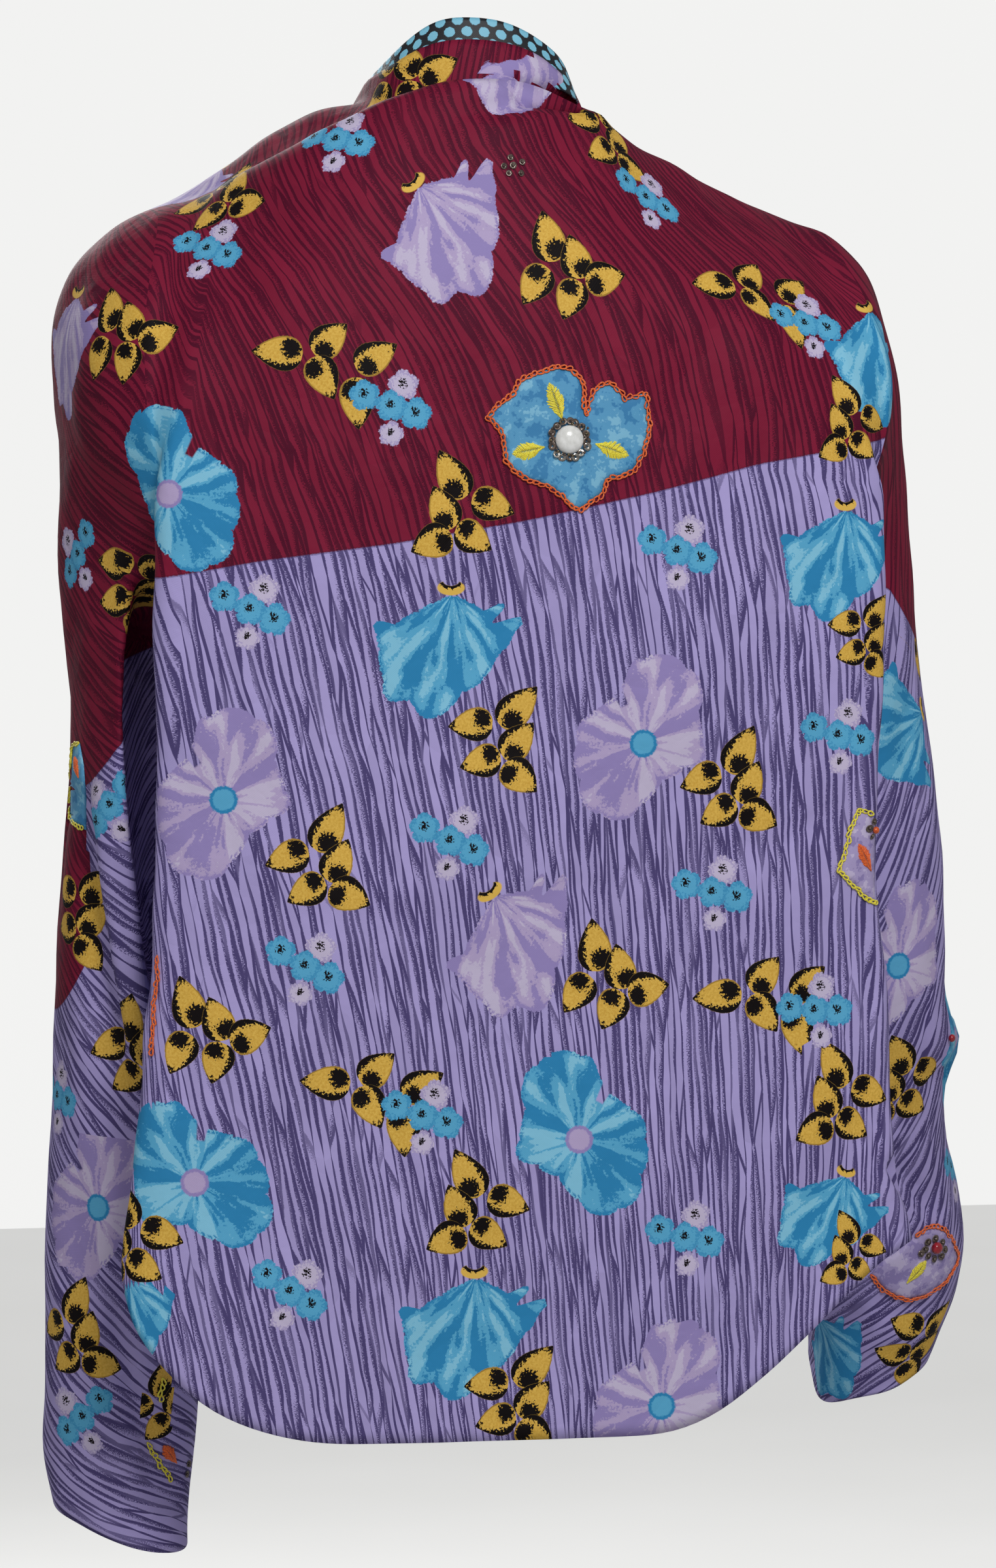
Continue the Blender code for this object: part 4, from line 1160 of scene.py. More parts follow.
def weave(add, place, thread, other="Y"):
    # the humps of a plain weave
    humps = add("sine", add("scale", place, 2 * math.pi / thread))
    return add("MULTIPLY", add("SeparateXYZ", humps), add("SeparateXYZ", humps, out=other))


# Printed silk: screen-printed habotai, 8 momme. It shows soft light with hardly a highlight, fine
# creases from folding, and flat ink with no edge to it. The threads of real silk are 0.1 mm apart. Here
# they are drawn ten times as coarse, to show at all.
silk = {"roughness": 0.6, "specular": 0.09, "thread": 1.1, "crease": ((34, 1.1), (11, 0.3)),
        "grain": {"flower": (1.3, 3), "bell": (1.3, 17), "sprig": (1.2, 29), "blossom": (1.1, 41)}}


def makeSilkPrint():
    add, setShader = newMaterial("printedSilk")
    ground = add("Attribute", attribute_name="bark", out="Vector")
    colour = add("Group", ground, node_tree=barkGroup())
    place, rough = {}, {}
    for motif, (size, seed) in silk["grain"].items():
        place[motif] = add("Attribute", attribute_name=motif, out="Vector")
        shifted = add("multiply_add", place[motif], (1 / size, 1 / size, 0), (seed, 0, 0))
        rough[motif] = add("TexNoise", shifted, 1, 2, 0.6, **inPlane)

    inside, tone = add("Group", place["flower"], rough["flower"], node_tree=flowerGroup(), out=None)
    colour = add("Mix", inside, colour, tone)
    inside, tone, calyx, ink = add("Group", place["bell"], rough["bell"], node_tree=bellGroup(), out=None)
    for amount, tone in ((inside, tone), (calyx, tones["mustard"]), (ink, tones["ink"])):
        colour = add("Mix", amount, colour, tone)

    leaf, inside = leafGroup(), None
    across, up, kind = add("SeparateXYZ", place["sprig"], out=None)
    flatPlace = add("CombineXYZ", across, up, 0)
    shape = add("MapRange", kind)
    single = add("MapRange", kind, 1.4, 1.6)
    for number, (*ends, half) in enumerate(sprigLeaves):
        base, tip = [add("Mix", shape, (*ends[i], 0), (*ends[i + 2], 0), data_type="VECTOR")
                     for i in (0, 1)]
        alone = number == singleLeaf["number"]      # the other leaves shrink to nothing where it is alone
        if alone:
            base = add("Mix", single, base, singleLeaf["base"], data_type="VECTOR")
            tip = add("Mix", single, tip, singleLeaf["tip"], data_type="VECTOR")
        half = add("Mix", single, half, singleLeaf["half"] if alone else 0, data_type="FLOAT")
        leafIn, leafInk, leafRim = add("Group", flatPlace, base, tip, half, rough["sprig"], node_tree=leaf,
                                       out=None)
        if inside:
            clear = add("SUBTRACT", 1, leafIn)
            leafInk = add("MAXIMUM", leafInk, add("MULTIPLY", ink, clear))
            leafRim = add("MAXIMUM", leafRim, add("MULTIPLY", rim, clear))
            leafIn = add("MAXIMUM", inside, leafIn)
        inside, ink, rim = leafIn, leafInk, leafRim
    uneven = add("MapRange", rough["sprig"], 0.35, 0.65)
    mustard = add("Mix", rim, add("Mix", uneven, tones["mustard"], tones["mustardDeep"]), tones["mustardRim"])
    colour = add("Mix", ink, add("Mix", inside, colour, mustard), tones["ink"])

    floret = floretGroup()
    flatPlace = add("multiply", place["blossom"], (1, 1, 0))
    for middle, radius, turn, isLilac in florets:
        inside, ink, part = add("Group", flatPlace, (*middle, 0), radius, turn, rough["blossom"],
                                node_tree=floret, out=None)
        fleck = add("MapRange", add("MULTIPLY", rough["blossom"], part), 0.36, 0.42, 0, 0.6)
        pair = ("lilacPale", "lilacDeep") if isLilac else ("turquoise", "turquoiseDeep")
        tone = add("Mix", fleck, tones[pair[0]], tones[pair[1]])
        colour = add("Mix", ink, add("Mix", inside, colour, tone), tones["ink"])

    height = None
    for size, tall in silk["crease"]:
        crinkle = add("TexNoise", onObject(add, size), 1)
        crinkle = add("MULTIPLY", add("ABSOLUTE", add("SUBTRACT", crinkle, 0.5)), 2 * tall)
        height = add("ADD", height, crinkle) if height else crinkle
    height = add("MULTIPLY_ADD", weave(add, ground, silk["thread"]), 0.02, height)
    return setShader({"Base Color": colour, "Roughness": silk["roughness"], "IOR": 1.5,
                      "Specular IOR Level": silk["specular"], "Normal": add("Bump", 1, mm, None, height)})


# Dotted lining: woven viscose, printed. Near black, with a faint even gloss and pale blue dots.
lining = {"ground": "#10141C", "dot": "#7FC4DE", "across": 8.2, "rowHeight": 5.9, "firstRow": 1.6,
          "dotSize": 5.1, "roughness": 0.45, "thread": 0.9}


def makeDottedLining():
    add, setShader = newMaterial("printedLining")
    place = add("UVMap", uv_map="flat")
    across, down, _ = add("SeparateXYZ", place, out=None)
    row = add("DIVIDE", add("ADD", down, lining["firstRow"]), lining["rowHeight"])
    shift = add("MULTIPLY", add("FLOORED_MODULO", add("FLOOR", row), 2), 0.5)
    column = add("ADD", add("DIVIDE", across, lining["across"]), shift)
    fromDot = [add("MULTIPLY", add("SUBTRACT", add("FRACT", count), 0.5), pitch)
               for count, pitch in ((column, lining["across"]), (row, lining["rowHeight"]))]
    distance = add("length", add("CombineXYZ", *fromDot, 0))
    uneven = add("SUBTRACT", add("TexNoise", place, 0.9, **inPlane), 0.5)
    distance = add("MULTIPLY_ADD", uneven, 0.8, distance)
    edge = lining["dotSize"] / 2
    dot = add("MapRange", distance, edge - 0.2, edge + 0.2, 1, 0, **softStep)
    height = add("MULTIPLY", weave(add, place, lining["thread"]), 0.03)
    return setShader({"Base Color": add("Mix", dot, fromHex(lining["ground"]), fromHex(lining["dot"])),
                      "Roughness": lining["roughness"], "Normal": add("Bump", 1, mm, None, height)})


# Studio paper is matt, with the faint mottle of pulp, and glows a little, as if lit from all round.
# Painted canvas, behind it, is evenly lit: it glows and has no shade of its own.
sheets = {
    "studioPaper": {"colours": ("#F1F1EF", "#F7F7F6"), "mottle": (3, 3), "glow": 0.42, "roughness": 0.9},
    "paintedCanvas": {"colours": ("#EFEFEE", "#F5F5F4"), "mottle": (0.4, 2), "glow": 1},
}


def makeStudioSheet(name):
    sheet = sheets[name]
    add, setShader = newMaterial(name)
    mottle = add("TexNoise", add("TexCoord", out="Object"), *sheet["mottle"], 0.5)
    colour = add("Mix", mottle, fromHex(sheet["colours"][0]), fromHex(sheet["colours"][1]))
    setShader({"Emission Color": colour, "Emission Strength": sheet["glow"]})
    if name == "paintedCanvas":
        return setShader({"Base Color": (0, 0, 0, 1), "Specular IOR Level": 0})
    return setShader({"Base Color": colour, "Roughness": sheet["roughness"]})


# Embroidery cotton, six strands, mercerised: a soft gloss along each thread, lighter on its crown.
threads = {"orange": ("#D04A10", "#F4701E"), "yellow": ("#D9C026", "#F6EC46"), "roughness": 0.42,
           "sheen": 0.3, "strand": 0.55}


def makeThread(name, colours):
    add, setShader = newMaterial(name)
    strand = add("TexNoise", onObject(add, threads["strand"]), 1, 2, 0.6)
    colour = add("Mix", add("MapRange", strand, 0.38, 0.55), *[fromHex(text) for text in colours])
    return setShader({"Base Color": colour, "Roughness": threads["roughness"],
                      "Sheen Weight": threads["sheen"], "Normal": add("Bump", 0.6, 0.3 * mm, None, strand)})


# Patch cloth: printed cotton, hand coloured. Matt, with brush marks in three tones.
patchCloth = {"blue": ("#3380B4", "#549CC8", "#7DBBDA"), "lilac": ("#9082B8", "#AC9ECC", "#C6BADC"),
              "brush": 9, "fleck": 1.1, "thread": 0.9, "roughness": 0.7}


def makePatchCloth(name, colours):
    add, setShader = newMaterial(name)
    deep, middle, pale = [fromHex(text) for text in colours]
    brush = add("TexNoise", onObject(add, patchCloth["brush"]), 1, 3, 0.65)
    fleck = add("TexNoise", onObject(add, patchCloth["fleck"]), 1, 1, 0.5)
    mark = add("MULTIPLY_ADD", add("SUBTRACT", fleck, 0.5), 0.16, brush)
    colour = add("Mix", add("MapRange", mark, 0.42, 0.46), deep, middle)
    colour = add("Mix", add("MapRange", mark, 0.56, 0.6), colour, pale)
    height = add("MULTIPLY_ADD", weave(add, onObject(add, 1), patchCloth["thread"], "Z"), 0.05, brush)
    return setShader({"Base Color": colour, "Roughness": patchCloth["roughness"],
                      "Normal": add("Bump", 0.5, 0.6 * mm, None, height)})


# Hard small things: two colours, roughness, metallic, coat, and the size of their mottle in mm.
# Sequins are stamped polyester film with a metal coat, the stone is moulded acrylic, beads are pressed
# glass. All have a small bright highlight.
trims = {
    "sequinBrown": ("#85766C", "#4A3F3A", 0.28, 0.45, 0.3, 1.6),
    "sequinSilver": ("#D8D4CC", "#8E8880", 0.2, 0.9, 0.2, 1.2),
    "stoneWhite": ("#F2F2F0", "#DCDCD8", 0.22, 0, 0.4, 3),
    "beadMetal": ("#B9A98A", "#6E6048", 0.25, 1, 0, 0.8),
    "beadRed": ("#B51E2D", "#7E121E", 0.15, 0, 0.6, 1.5),
    "beadOrange": ("#E8662A", "#B8461A", 0.2, 0, 0.5, 1.5),
}


def makeTrim(name):
    first, second, roughness, metallic, coat, size = trims[name]
    add, setShader = newMaterial(name)
    mottle = add("TexNoise", onObject(add, size), 1, 3, 0.6)
    colour = add("Mix", add("MapRange", mottle, 0.35, 0.65), fromHex(first), fromHex(second))
    return setShader({
        "Base Color": colour, "Metallic": metallic, "Coat Weight": coat, "Coat Roughness": 0.1,
        "Roughness": add("MapRange", mottle, 0.3, 0.7, roughness * 0.8, roughness * 1.3),
        "Normal": add("Bump", 0.3, 0.2 * mm, None, mottle)})


silkPrint = makeSilkPrint()
dottedLining = makeDottedLining()
orangeThread = makeThread("cottonOrange", threads["orange"])
yellowThread = makeThread("cottonYellow", threads["yellow"])
paintedBlue = makePatchCloth("patchCottonBlue", patchCloth["blue"])
paintedLilac = makePatchCloth("patchCottonLilac", patchCloth["lilac"])
darkSequin, brightSequin, whiteStone, metalBead, redBead, orangeBead = [makeTrim(name) for name in trims]
print("materials made")


# The cloth as a thin shell, and the strip of lining that shows at the neck

def meshFrom(shape, name):
    data = bpy.data.meshes.new(name)
    shape.to_mesh(data)
    shape.free()
    return data


def finished(data, name, *materials):
    # an object from a mesh in mm
    data.transform(Matrix.Scale(mm, 4))
    made = bpy.data.objects.new(name, data)
    scene.collection.objects.link(made)
    for material in materials:
        data.materials.append(material)
    data.shade_smooth()
    return made


shell = ("SOLIDIFY", {"thickness": cloth["thickness"], "offset": 0, "use_rim": True,
                      "use_even_offset": False})
# the printed silk shows on both of its faces
shrugCloth = finished(withModifiers(fine.copy(), "shrugCloth", shell), "shrugCloth", silkPrint)
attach(shrugCloth, "root")
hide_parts("back", "sleeve_left", "sleeve_right", "front_left", "front_right", "collar")
print("cloth shell made")

neck = {
    "height": 13.5, "arch": (1.02, 5, 0.6),      # above the collar, and how its top edge falls to the sides
    "overhang": 1,                               # columns past the nape's own
    "behind": 2.3, "thickness": 0.9, "fineness": 3,
}


def neckGrid():
    # up the collar's inner face and on above it
    guide = sewn(grids, "neckGuide")
    facing = {tuple(round(value, 1) for value in vert.co): Vector(vert.normal) for vert in guide.vertices}
    first = collarFrontRows - neck["overhang"]
    last = collarFrontRows + neckColumns + neck["overhang"]
    rows = [[point - facing[tuple(round(value, 1) for value in point)] * neck["behind"]
             for point in row[first:last + 1]] for row in patches["collar"][1:]]
    level, power, fall = neck["arch"]
    upper = []
    for column, (point, below) in enumerate(zip(rows[-1], rows[-2])):
        across = 2 * column / (last - first) - 1
        rise = neck["height"] * (level - abs(across) ** power) ** fall
        upper.append(point + (point - below).normalized() * rise)
    return rows + [upper]


def placesFromTop(rows):
    # the same as placesByArc, but with the rows measured down from the top edge
    places = placesByArc(rows)
    for column in range(len(rows[0])):
        depth = 0
        for row in range(len(rows) - 1, -1, -1):
            if row < len(rows) - 1:
                depth += (rows[row][column] - rows[row + 1][column]).length
            places[row][column] = (places[row][column][0], depth)
    return places


neckRows = neckGrid()
neckData = withModifiers(
    sewn([(neckRows, placesFromTop(neckRows))], "neckLining"), "neckFine", subdivide(neck["fineness"]),
    ("SOLIDIFY", {"thickness": neck["thickness"], "offset": 0, "use_rim": True}))
neckLining = finished(neckData, "neckLining", dottedLining)
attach(neckLining, "root")
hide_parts("neck_lining")
print("neck lining made")


# The hand work: patches, chain stitch, satin leaves, sequins and beads

pieceTrees = {
    name: BVHTree.FromPolygons([tuple(point) for point in points], faceVerts[facePiece == number].tolist())
    for name, number in pieceNumber.items()}


def movedIn(across, down, piece):
    # a pixel just outside a piece of cloth is moved in until it meets it
    inward = 1 if across < view["width"] / 2 else -1
    moved = across
    while pieceTrees[piece].ray_cast(eye, photoRay(moved, down))[0] is None:
        moved += inward
    return (moved if moved == across else moved + 2 * inward), down


def onCloth(across, down, piece, lift=0):
    # the place on one piece of the cloth under a pixel of the photograph, and the way it faces there
    where, normal, _, _ = pieceTrees[piece].ray_cast(eye, photoRay(*movedIn(across, down, piece)))
    normal = normal if normal.dot(viewIn) < 0 else -normal
    return where + normal * (cloth["thickness"] / 2 + lift), normal


def nearestOn(where, piece):
    # the nearest place on one piece of the cloth, and the way it faces there
    hit, normal, _, _ = pieceTrees[piece].find_nearest(where)
    return hit, -normal if normal.dot(where - eye) > 0 else normal


def sewOn(mesh, name, *materials):
    thing = finished(meshFrom(mesh, name), name, *materials)
    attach(thing, "root")
    handWork.append(thing)


def bridge(mesh, rings, kind=0, closed=False, caps=2):
    # faces between rings of points, and over the first end or both
    for first, second in zip(rings, rings[1:] + (rings[:1] if closed else [])):
        for step, corner in enumerate(first):
            following = (step + 1) % len(first)
            face = mesh.faces.new((corner, first[following], second[following], second[step]))
            face.material_index = kind
    for ring in [] if closed else (rings[0][::-1], rings[-1])[:caps]:
        mesh.faces.new(ring).material_index = kind


def tubeAlong(mesh, line, normals, radius, sides=5, closed=False, thin=1):
    # a thread through points, lying on the cloth: thin flattens it, and it tapers at open ends
    count = len(line)
    rings = []
    for index, point in enumerate(line):
        before = line[index - 1] if (index or closed) else point
        after = line[(index + 1) % count] if (index < count - 1 or closed) else point
        ahead = (after - before).normalized()
        side = ahead.cross(normals[index]).normalized()
        up = side.cross(ahead)
        size = radius * (0.45 if index in (0, count - 1) and not closed else 1)
        angles = [-2 * math.pi * step / sides for step in range(sides)]
        rings.append([mesh.verts.new(point + side * math.cos(angle) * size
                                     + up * math.sin(angle) * size * thin) for angle in angles])
    bridge(mesh, rings, closed=closed)


def stretchLine(line, step, piece, closed=False):
    # points at even steps along a line of pixels, laid on the cloth; none where the cloth falls away
    places = [onCloth(*spot, piece)[0] for spot in (list(line) + [line[0]] if closed else line)]
    done, result, want = 0, [], 0
    for start, end in zip(places, places[1:]):
        length = (end - start).length
        while want <= done + length and length > 0:
            spot = start.lerp(end, (want - done) / length)
            if (pieceTrees[piece].find_nearest(spot)[0] - spot).length < chain["away"]:
                result.append(spot)
            want += step
        done += length
    return result


# chain stitch: each link is a small teardrop loop of thread that starts inside the one before
chain = {"link": 2.9, "width": 2.5, "thread": 0.42, "lift": 0.45, "unevenness": 0.22, "shortest": 0.4,
         "overlap": 1.28, "steps": 10, "away": 3.5}


def chainStitch(name, material, line, piece, closed=False, seed=1, wild=1):
    mesh = bmesh.new()
    rng = random.Random(seed)
    spots = stretchLine(line, chain["link"], piece, closed)
    for start, end in zip(spots, spots[1:] + (spots[:1] if closed else [])):
        _, normal = nearestOn(start, piece)
        ahead = end - start
        if not chain["shortest"] <= ahead.length <= 2 * chain["link"]:
            continue
        reach = ahead.length * (chain["overlap"] + rng.uniform(-0.1, 0.15) * wild)
        ahead.normalize()
        side = ahead.cross(normal).normalized()
        twist = rng.uniform(-0.3, 0.3) * wild
        ahead, side = (ahead + side * twist).normalized(), (side - ahead * twist).normalized()
        wide = chain["width"] / 2 * (1 + rng.uniform(-1, 1) * chain["unevenness"] * wild)
        loop = []
        for step in range(chain["steps"]):
            angle = 2 * math.pi * step / chain["steps"]
            along = (1 - math.cos(angle)) / 2
            across = math.sin(angle) * wide * (0.35 + 0.65 * along)
            rise = chain["lift"] + 0.35 * math.sin(along * math.pi) + 0.35 * along + rng.uniform(0, 0.12)
            loop.append(start + ahead * reach * along + side * across + normal * rise)
        tubeAlong(mesh, loop, [normal] * len(loop), chain["thread"] * rng.uniform(0.85, 1.15), closed=True)
    sewOn(mesh, name, material)


# a leaf of satin stitch: threads side by side, slanting out from a middle line
satin = {"thread": 0.42, "gap": 0.72, "height": 1, "slant": 3.2, "lift": 0.25, "steps": 4}


def satinLeaf(mesh, base, tip, width, piece, seed):
    rng = random.Random(seed)
    start, normal = onCloth(*base, piece)
    ahead = onCloth(*tip, piece)[0] - start
    length = ahead.length
    ahead.normalize()
    side = ahead.cross(normal).normalized()
    count = int(length / satin["gap"])
    for hand in (-1, 1):
        for number in range(count):
            part = (number + 0.5) / count
            wide = width / 2 * math.sin(math.pi * min(part * 1.02, 1)) ** 0.7 * (0.85 + 0.3 * rng.random())
            root = start + ahead * length * part
            out = root + side * hand * wide + ahead * satin["slant"] * (1 - 0.3 * part)
            line, ups = [], []
            for step in range(satin["steps"] + 1):
                share = step / satin["steps"]
                hit, facing = nearestOn(root.lerp(out, share), piece)
                rise = satin["height"] * (1 - share ** 2 * 0.85) * (0.7 + 0.3 * math.sin(math.pi * part))
                line.append(hit + facing * (cloth["thickness"] / 2 + satin["lift"] + rise))
                ups.append(facing)
            tubeAlong(mesh, line, ups, satin["thread"] * rng.uniform(0.85, 1.1), thin=0.8)


def axesAt(normal, turn=0):
    # across and up on the cloth, turned about its normal
    across = viewUp.cross(normal).normalized()
    up = normal.cross(across)
    return across * math.cos(turn) + up * math.sin(turn), up * math.cos(turn) - across * math.sin(turn)


def turnedShape(mesh, where, normal, profile, sides, kind=0, tilt=0, turn=0, holed=False):
    # a small round thing turned about the cloth's normal: profile is (distance out, height) in mm. It goes
    # up to a pinhole, or round the section of a ring that has a hole.
    across = axesAt(normal, turn)[0]
    lean = (normal + across * tilt).normalized()
    across = (across - lean * across.dot(lean)).normalized()
    up = lean.cross(across)
    turns = [2 * math.pi * step / sides for step in range(sides)]
    spokes = [across * math.cos(angle) + up * math.sin(angle) for angle in turns]
    rings = [[mesh.verts.new(where + lean * height + spoke * out) for spoke in spokes]
             for out, height in profile]
    bridge(mesh, rings, kind, closed=holed, caps=1)


# cupped sequins, 3.9 mm, with a hole and a knot of thread
sequin = {"radius": 1.95, "hole": 0.42, "cup": 0.6, "thickness": 0.14, "lift": 0.15, "sides": 14,
          "knot": ((0.3, 0), (0.7, 0.3), (0.75, 0.7), (0.45, 1.15), (0.05, 1.3)), "knotLift": 0.4}


def addSequin(mesh, where, normal, kind=0, tilt=0, turn=0, size=1):
    radius, cup = sequin["radius"] * size, sequin["cup"] * size
    hole, thick = sequin["hole"], sequin["thickness"]
    profile = ((hole, 0.05), (radius * 0.55, cup * 0.35), (radius, cup), (radius, cup + thick),
               (radius * 0.5, cup * 0.35 + thick), (hole, 0.05 + thick))
    where = where + normal * sequin["lift"]
    turnedShape(mesh, where, normal, profile, sequin["sides"], kind, tilt, turn, holed=True)


def isInside(spot, ring):
    inside = False
    for start, end in zip(ring, ring[1:] + ring[:1]):
        if (start[1] > spot[1]) != (end[1] > spot[1]):
            if spot[0] < (end[0] - start[0]) * (spot[1] - start[1]) / (end[1] - start[1]) + start[0]:
                inside = not inside
    return inside


# a patch: a slightly padded piece of printed cloth laid on the shrug, inside a line of pixels
patchForm = {
    "grid": 2.6, "height": 0.75, "rim": 2.56, "lift": 0.06, "turnedUnder": 0.9,
    "longest": 4.5, "rounds": 4,      # how long an edge stays, and how often longer ones are split
    "dropped": 45,                    # a face with an edge longer than this is left out
}


def ringAround(outline, step):
    # the outline's own points and more at even steps between them
    ring = []
    for start, end in zip(outline, outline[1:] + outline[:1]):
        count = max(int((end - start).length / step), 1)
        ring += [start.lerp(end, number / count) for number in range(count)]
    return ring


def gridInside(ring, step, away):
    low, high = [[side(spot[axis] for spot in ring) for axis in (0, 1)] for side in (min, max)]
    spots = []
    column = low[0] + step / 2
    while column < high[0]:
        row = low[1] + step / 2
        while row < high[1]:
            if away(column, row) > step * 0.55 and isInside((column, row), ring):
                spots.append(Vector((column, row)))
            row += step
        column += step
    return spots


def paddedPatch(name, outline, material, piece, height=patchForm["height"]):
    outline = [Vector(movedIn(across, down, piece)) for across, down in outline]
    step = patchForm["grid"] / pixelSize
    ring = ringAround(outline, step)
    ringLine = np.array([tuple(spot) for spot in ring + ring[:1]])

    def away(across, down):
        return alongLine(np.array([[across, down]]), ringLine)[0][0]

    edges = [(number, (number + 1) % len(ring)) for number in range(len(ring))]
    flatSpots = ring + gridInside(ring, step, away)
    spots, _, faces, _, _, _ = delaunay_2d_cdt(flatSpots, edges, [], 1, 1e-4)
    mesh = bmesh.new()
    verts = []
    for spot in spots:
        padding = height * float(smooth(0, patchForm["rim"], away(*spot) * pixelSize))
        verts.append(mesh.verts.new(onCloth(*spot, piece, padding + patchForm["lift"])[0]))
    for face in faces:
        middle = sum((spots[index] for index in face), Vector((0, 0))) / len(face)
        corners = [verts[index] for index in face]
        longest = max((corner.co - after.co).length
                      for corner, after in zip(corners, corners[1:] + corners[:1]))
        if isInside(middle, ring) and longest < patchForm["dropped"]:
            mesh.faces.new(corners)
    for vert in [vert for vert in mesh.verts if not vert.link_faces]:
        mesh.verts.remove(vert)
    # where the cloth turns away its long edges are split and laid down again
    for _ in range(patchForm["rounds"]):
        split = [edge for edge in mesh.edges if edge.calc_length() > patchForm["longest"]]
        for part in bmesh.ops.subdivide_edges(mesh, edges=split, cuts=1)["geom_inner"]:
            if isinstance(part, bmesh.types.BMVert):
                hit, facing = nearestOn(part.co, piece)
                part.co = hit + facing * (cloth["thickness"] / 2 + height)
    bmesh.ops.recalc_face_normals(mesh, faces=mesh.faces)
    if sum(face.normal.dot(viewIn) for face in mesh.faces) > 0:
        bmesh.ops.reverse_faces(mesh, faces=mesh.faces)
    # its edge is turned under onto the cloth
    rim = [edge for edge in mesh.edges if edge.is_boundary]
    for part in bmesh.ops.extrude_edge_only(mesh, edges=rim)["geom"]:
        if isinstance(part, bmesh.types.BMVert):
            part.co += viewIn * patchForm["turnedUnder"]
    sewOn(mesh, name, material)


handWork = []
# the turquoise flower between the shoulder blades, with a stone in a ring of sequins and beads
backFlower = {
    "outline": (
        (745, 639), (757, 624), (780, 609), (797, 582), (822, 571), (849, 562), (875, 567), (891, 583),
        (893, 610), (894, 634), (902, 612), (911, 593), (930, 586), (946, 596), (955, 611), (988, 600),
        (990, 620), (992, 637), (994, 655), (991, 673), (982, 698), (969, 720), (950, 730), (927, 734),
        (922, 754), (902, 770), (881, 782), (860, 762), (841, 745), (822, 738), (802, 732), (786, 720),
        (774, 704), (770, 688), (770, 670), (762, 656)),
    "leaves": (((860, 644), (841, 591)), ((908, 679), (956, 696)), ((834, 684), (788, 694))),
    "leafWidth": 9, "middle": (870, 673),
    "stone": ((6.2, 0), (6.8, 0.9), (6.6, 1.7), (5.9, 2.7), (4.7, 3.5), (3, 4.1), (1.2, 4.4),
              (0.03, 4.45)),
    "sequins": 16, "sequinRing": (8.6, -0.5, 0.6), "sequinLift": (0.1, 0.6),
    "beads": 24, "beadRing": (7, 0, 3.2), "beadLift": (0.7, 1.3),
    "bead": ((0.25, 0), (0.62, 0.25), (0.72, 0.6), (0.5, 1), (0.05, 1.15)),
}


def roundStone(rng, number, count, jitter, ring, lift):
    # a place in a ring round the stone: its angle, how far up the ring it is (-1 to 1), and where it is
    angle = 2 * math.pi * number / count + rng.uniform(-jitter, jitter)
    across, up = axesAt(facing)
    out = across * math.cos(angle) + up * math.sin(angle)
    return angle, up.dot(out), middle + out * (ring[0] + rng.uniform(*ring[1:])) + facing * rng.uniform(*lift)


paddedPatch("backFlower", backFlower["outline"], paintedBlue, "back")
chainStitch("backFlowerStitch", orangeThread, backFlower["outline"], "back", closed=True, seed=5)
mesh = bmesh.new()
for number, (base, tip) in enumerate(backFlower["leaves"]):
    satinLeaf(mesh, base, tip, backFlower["leafWidth"], "back", seed=20 + number)
sewOn(mesh, "backFlowerLeaves", yellowThread)
middle, facing = onCloth(*backFlower["middle"], "back", patchForm["height"])
mesh = bmesh.new()
turnedShape(mesh, middle, facing, backFlower["stone"], 28)
sewOn(mesh, "backFlowerStone", whiteStone)
mesh = bmesh.new()
rng = random.Random(31)
for number in range(backFlower["sequins"]):
    angle, height, where = roundStone(rng, number, backFlower["sequins"], 0.08, backFlower["sequinRing"],
                                      backFlower["sequinLift"])
    bright = 1 if (height < -0.35 and rng.random() < 0.6) else 0
    addSequin(mesh, where, facing, kind=bright, tilt=rng.uniform(-0.5, 0.5),
              turn=angle + rng.uniform(-0.4, 0.4))
sewOn(mesh, "backFlowerSequins", darkSequin, brightSequin)
mesh = bmesh.new()
for number in range(backFlower["beads"]):
    _, _, where = roundStone(rng, number, backFlower["beads"], 0.1, backFlower["beadRing"],
                             backFlower["beadLift"])
    turnedShape(mesh, where, facing, backFlower["bead"], 8, kind=rng.choice((0, 0, 1)))
sewOn(mesh, "backFlowerBeads", darkSequin, metalBead)
print("back flower sewn on")

# patches at the right side, the right elbow and the left sleeve: outline, cloth, line of stitches, thread
# and the piece that each is on
elbowLine = ((1332, 1949), (1355, 1975), (1384, 1988), (1412, 1982), (1444, 1961), (1460, 1934), (1463, 1922),
             (1455, 1899), (1441, 1881), (1426, 1874), (1409, 1882), (1396, 1895))
sleeveLine = ((124, 1137), (114, 1143), (112, 1169), (111, 1210), (110, 1251), (118, 1262), (134, 1271))
sideLine = ((1312, 1237), (1303, 1262), (1292, 1298), (1282, 1334), (1300, 1352), (1322, 1374))
sidePatches = {
    "sidePatch": ((*sideLine, (1337, 1386), (1340, 1350), (1340, 1310), (1338, 1270), (1334, 1250)),
                  paintedLilac, ((1334, 1246), *sideLine, (1337, 1385), (1343, 1375)), yellowThread, "back"),
    "elbowPatch": ((*elbowLine, (1370, 1916), (1345, 1932)), paintedLilac, elbowLine, orangeThread,
                   "sleeveRight"),
    "sleevePatch": ((*sleeveLine, (134, 1220), (130, 1170)), paintedBlue, sleeveLine, yellowThread,
                    "sleeveLeft"),
}
for name, (outline, material, line, thread, piece) in sidePatches.items():
    paddedPatch(name, outline, material, piece, 0.6)
    chainStitch(name + "Stitch", thread, line, piece, seed=len(name) * 7)

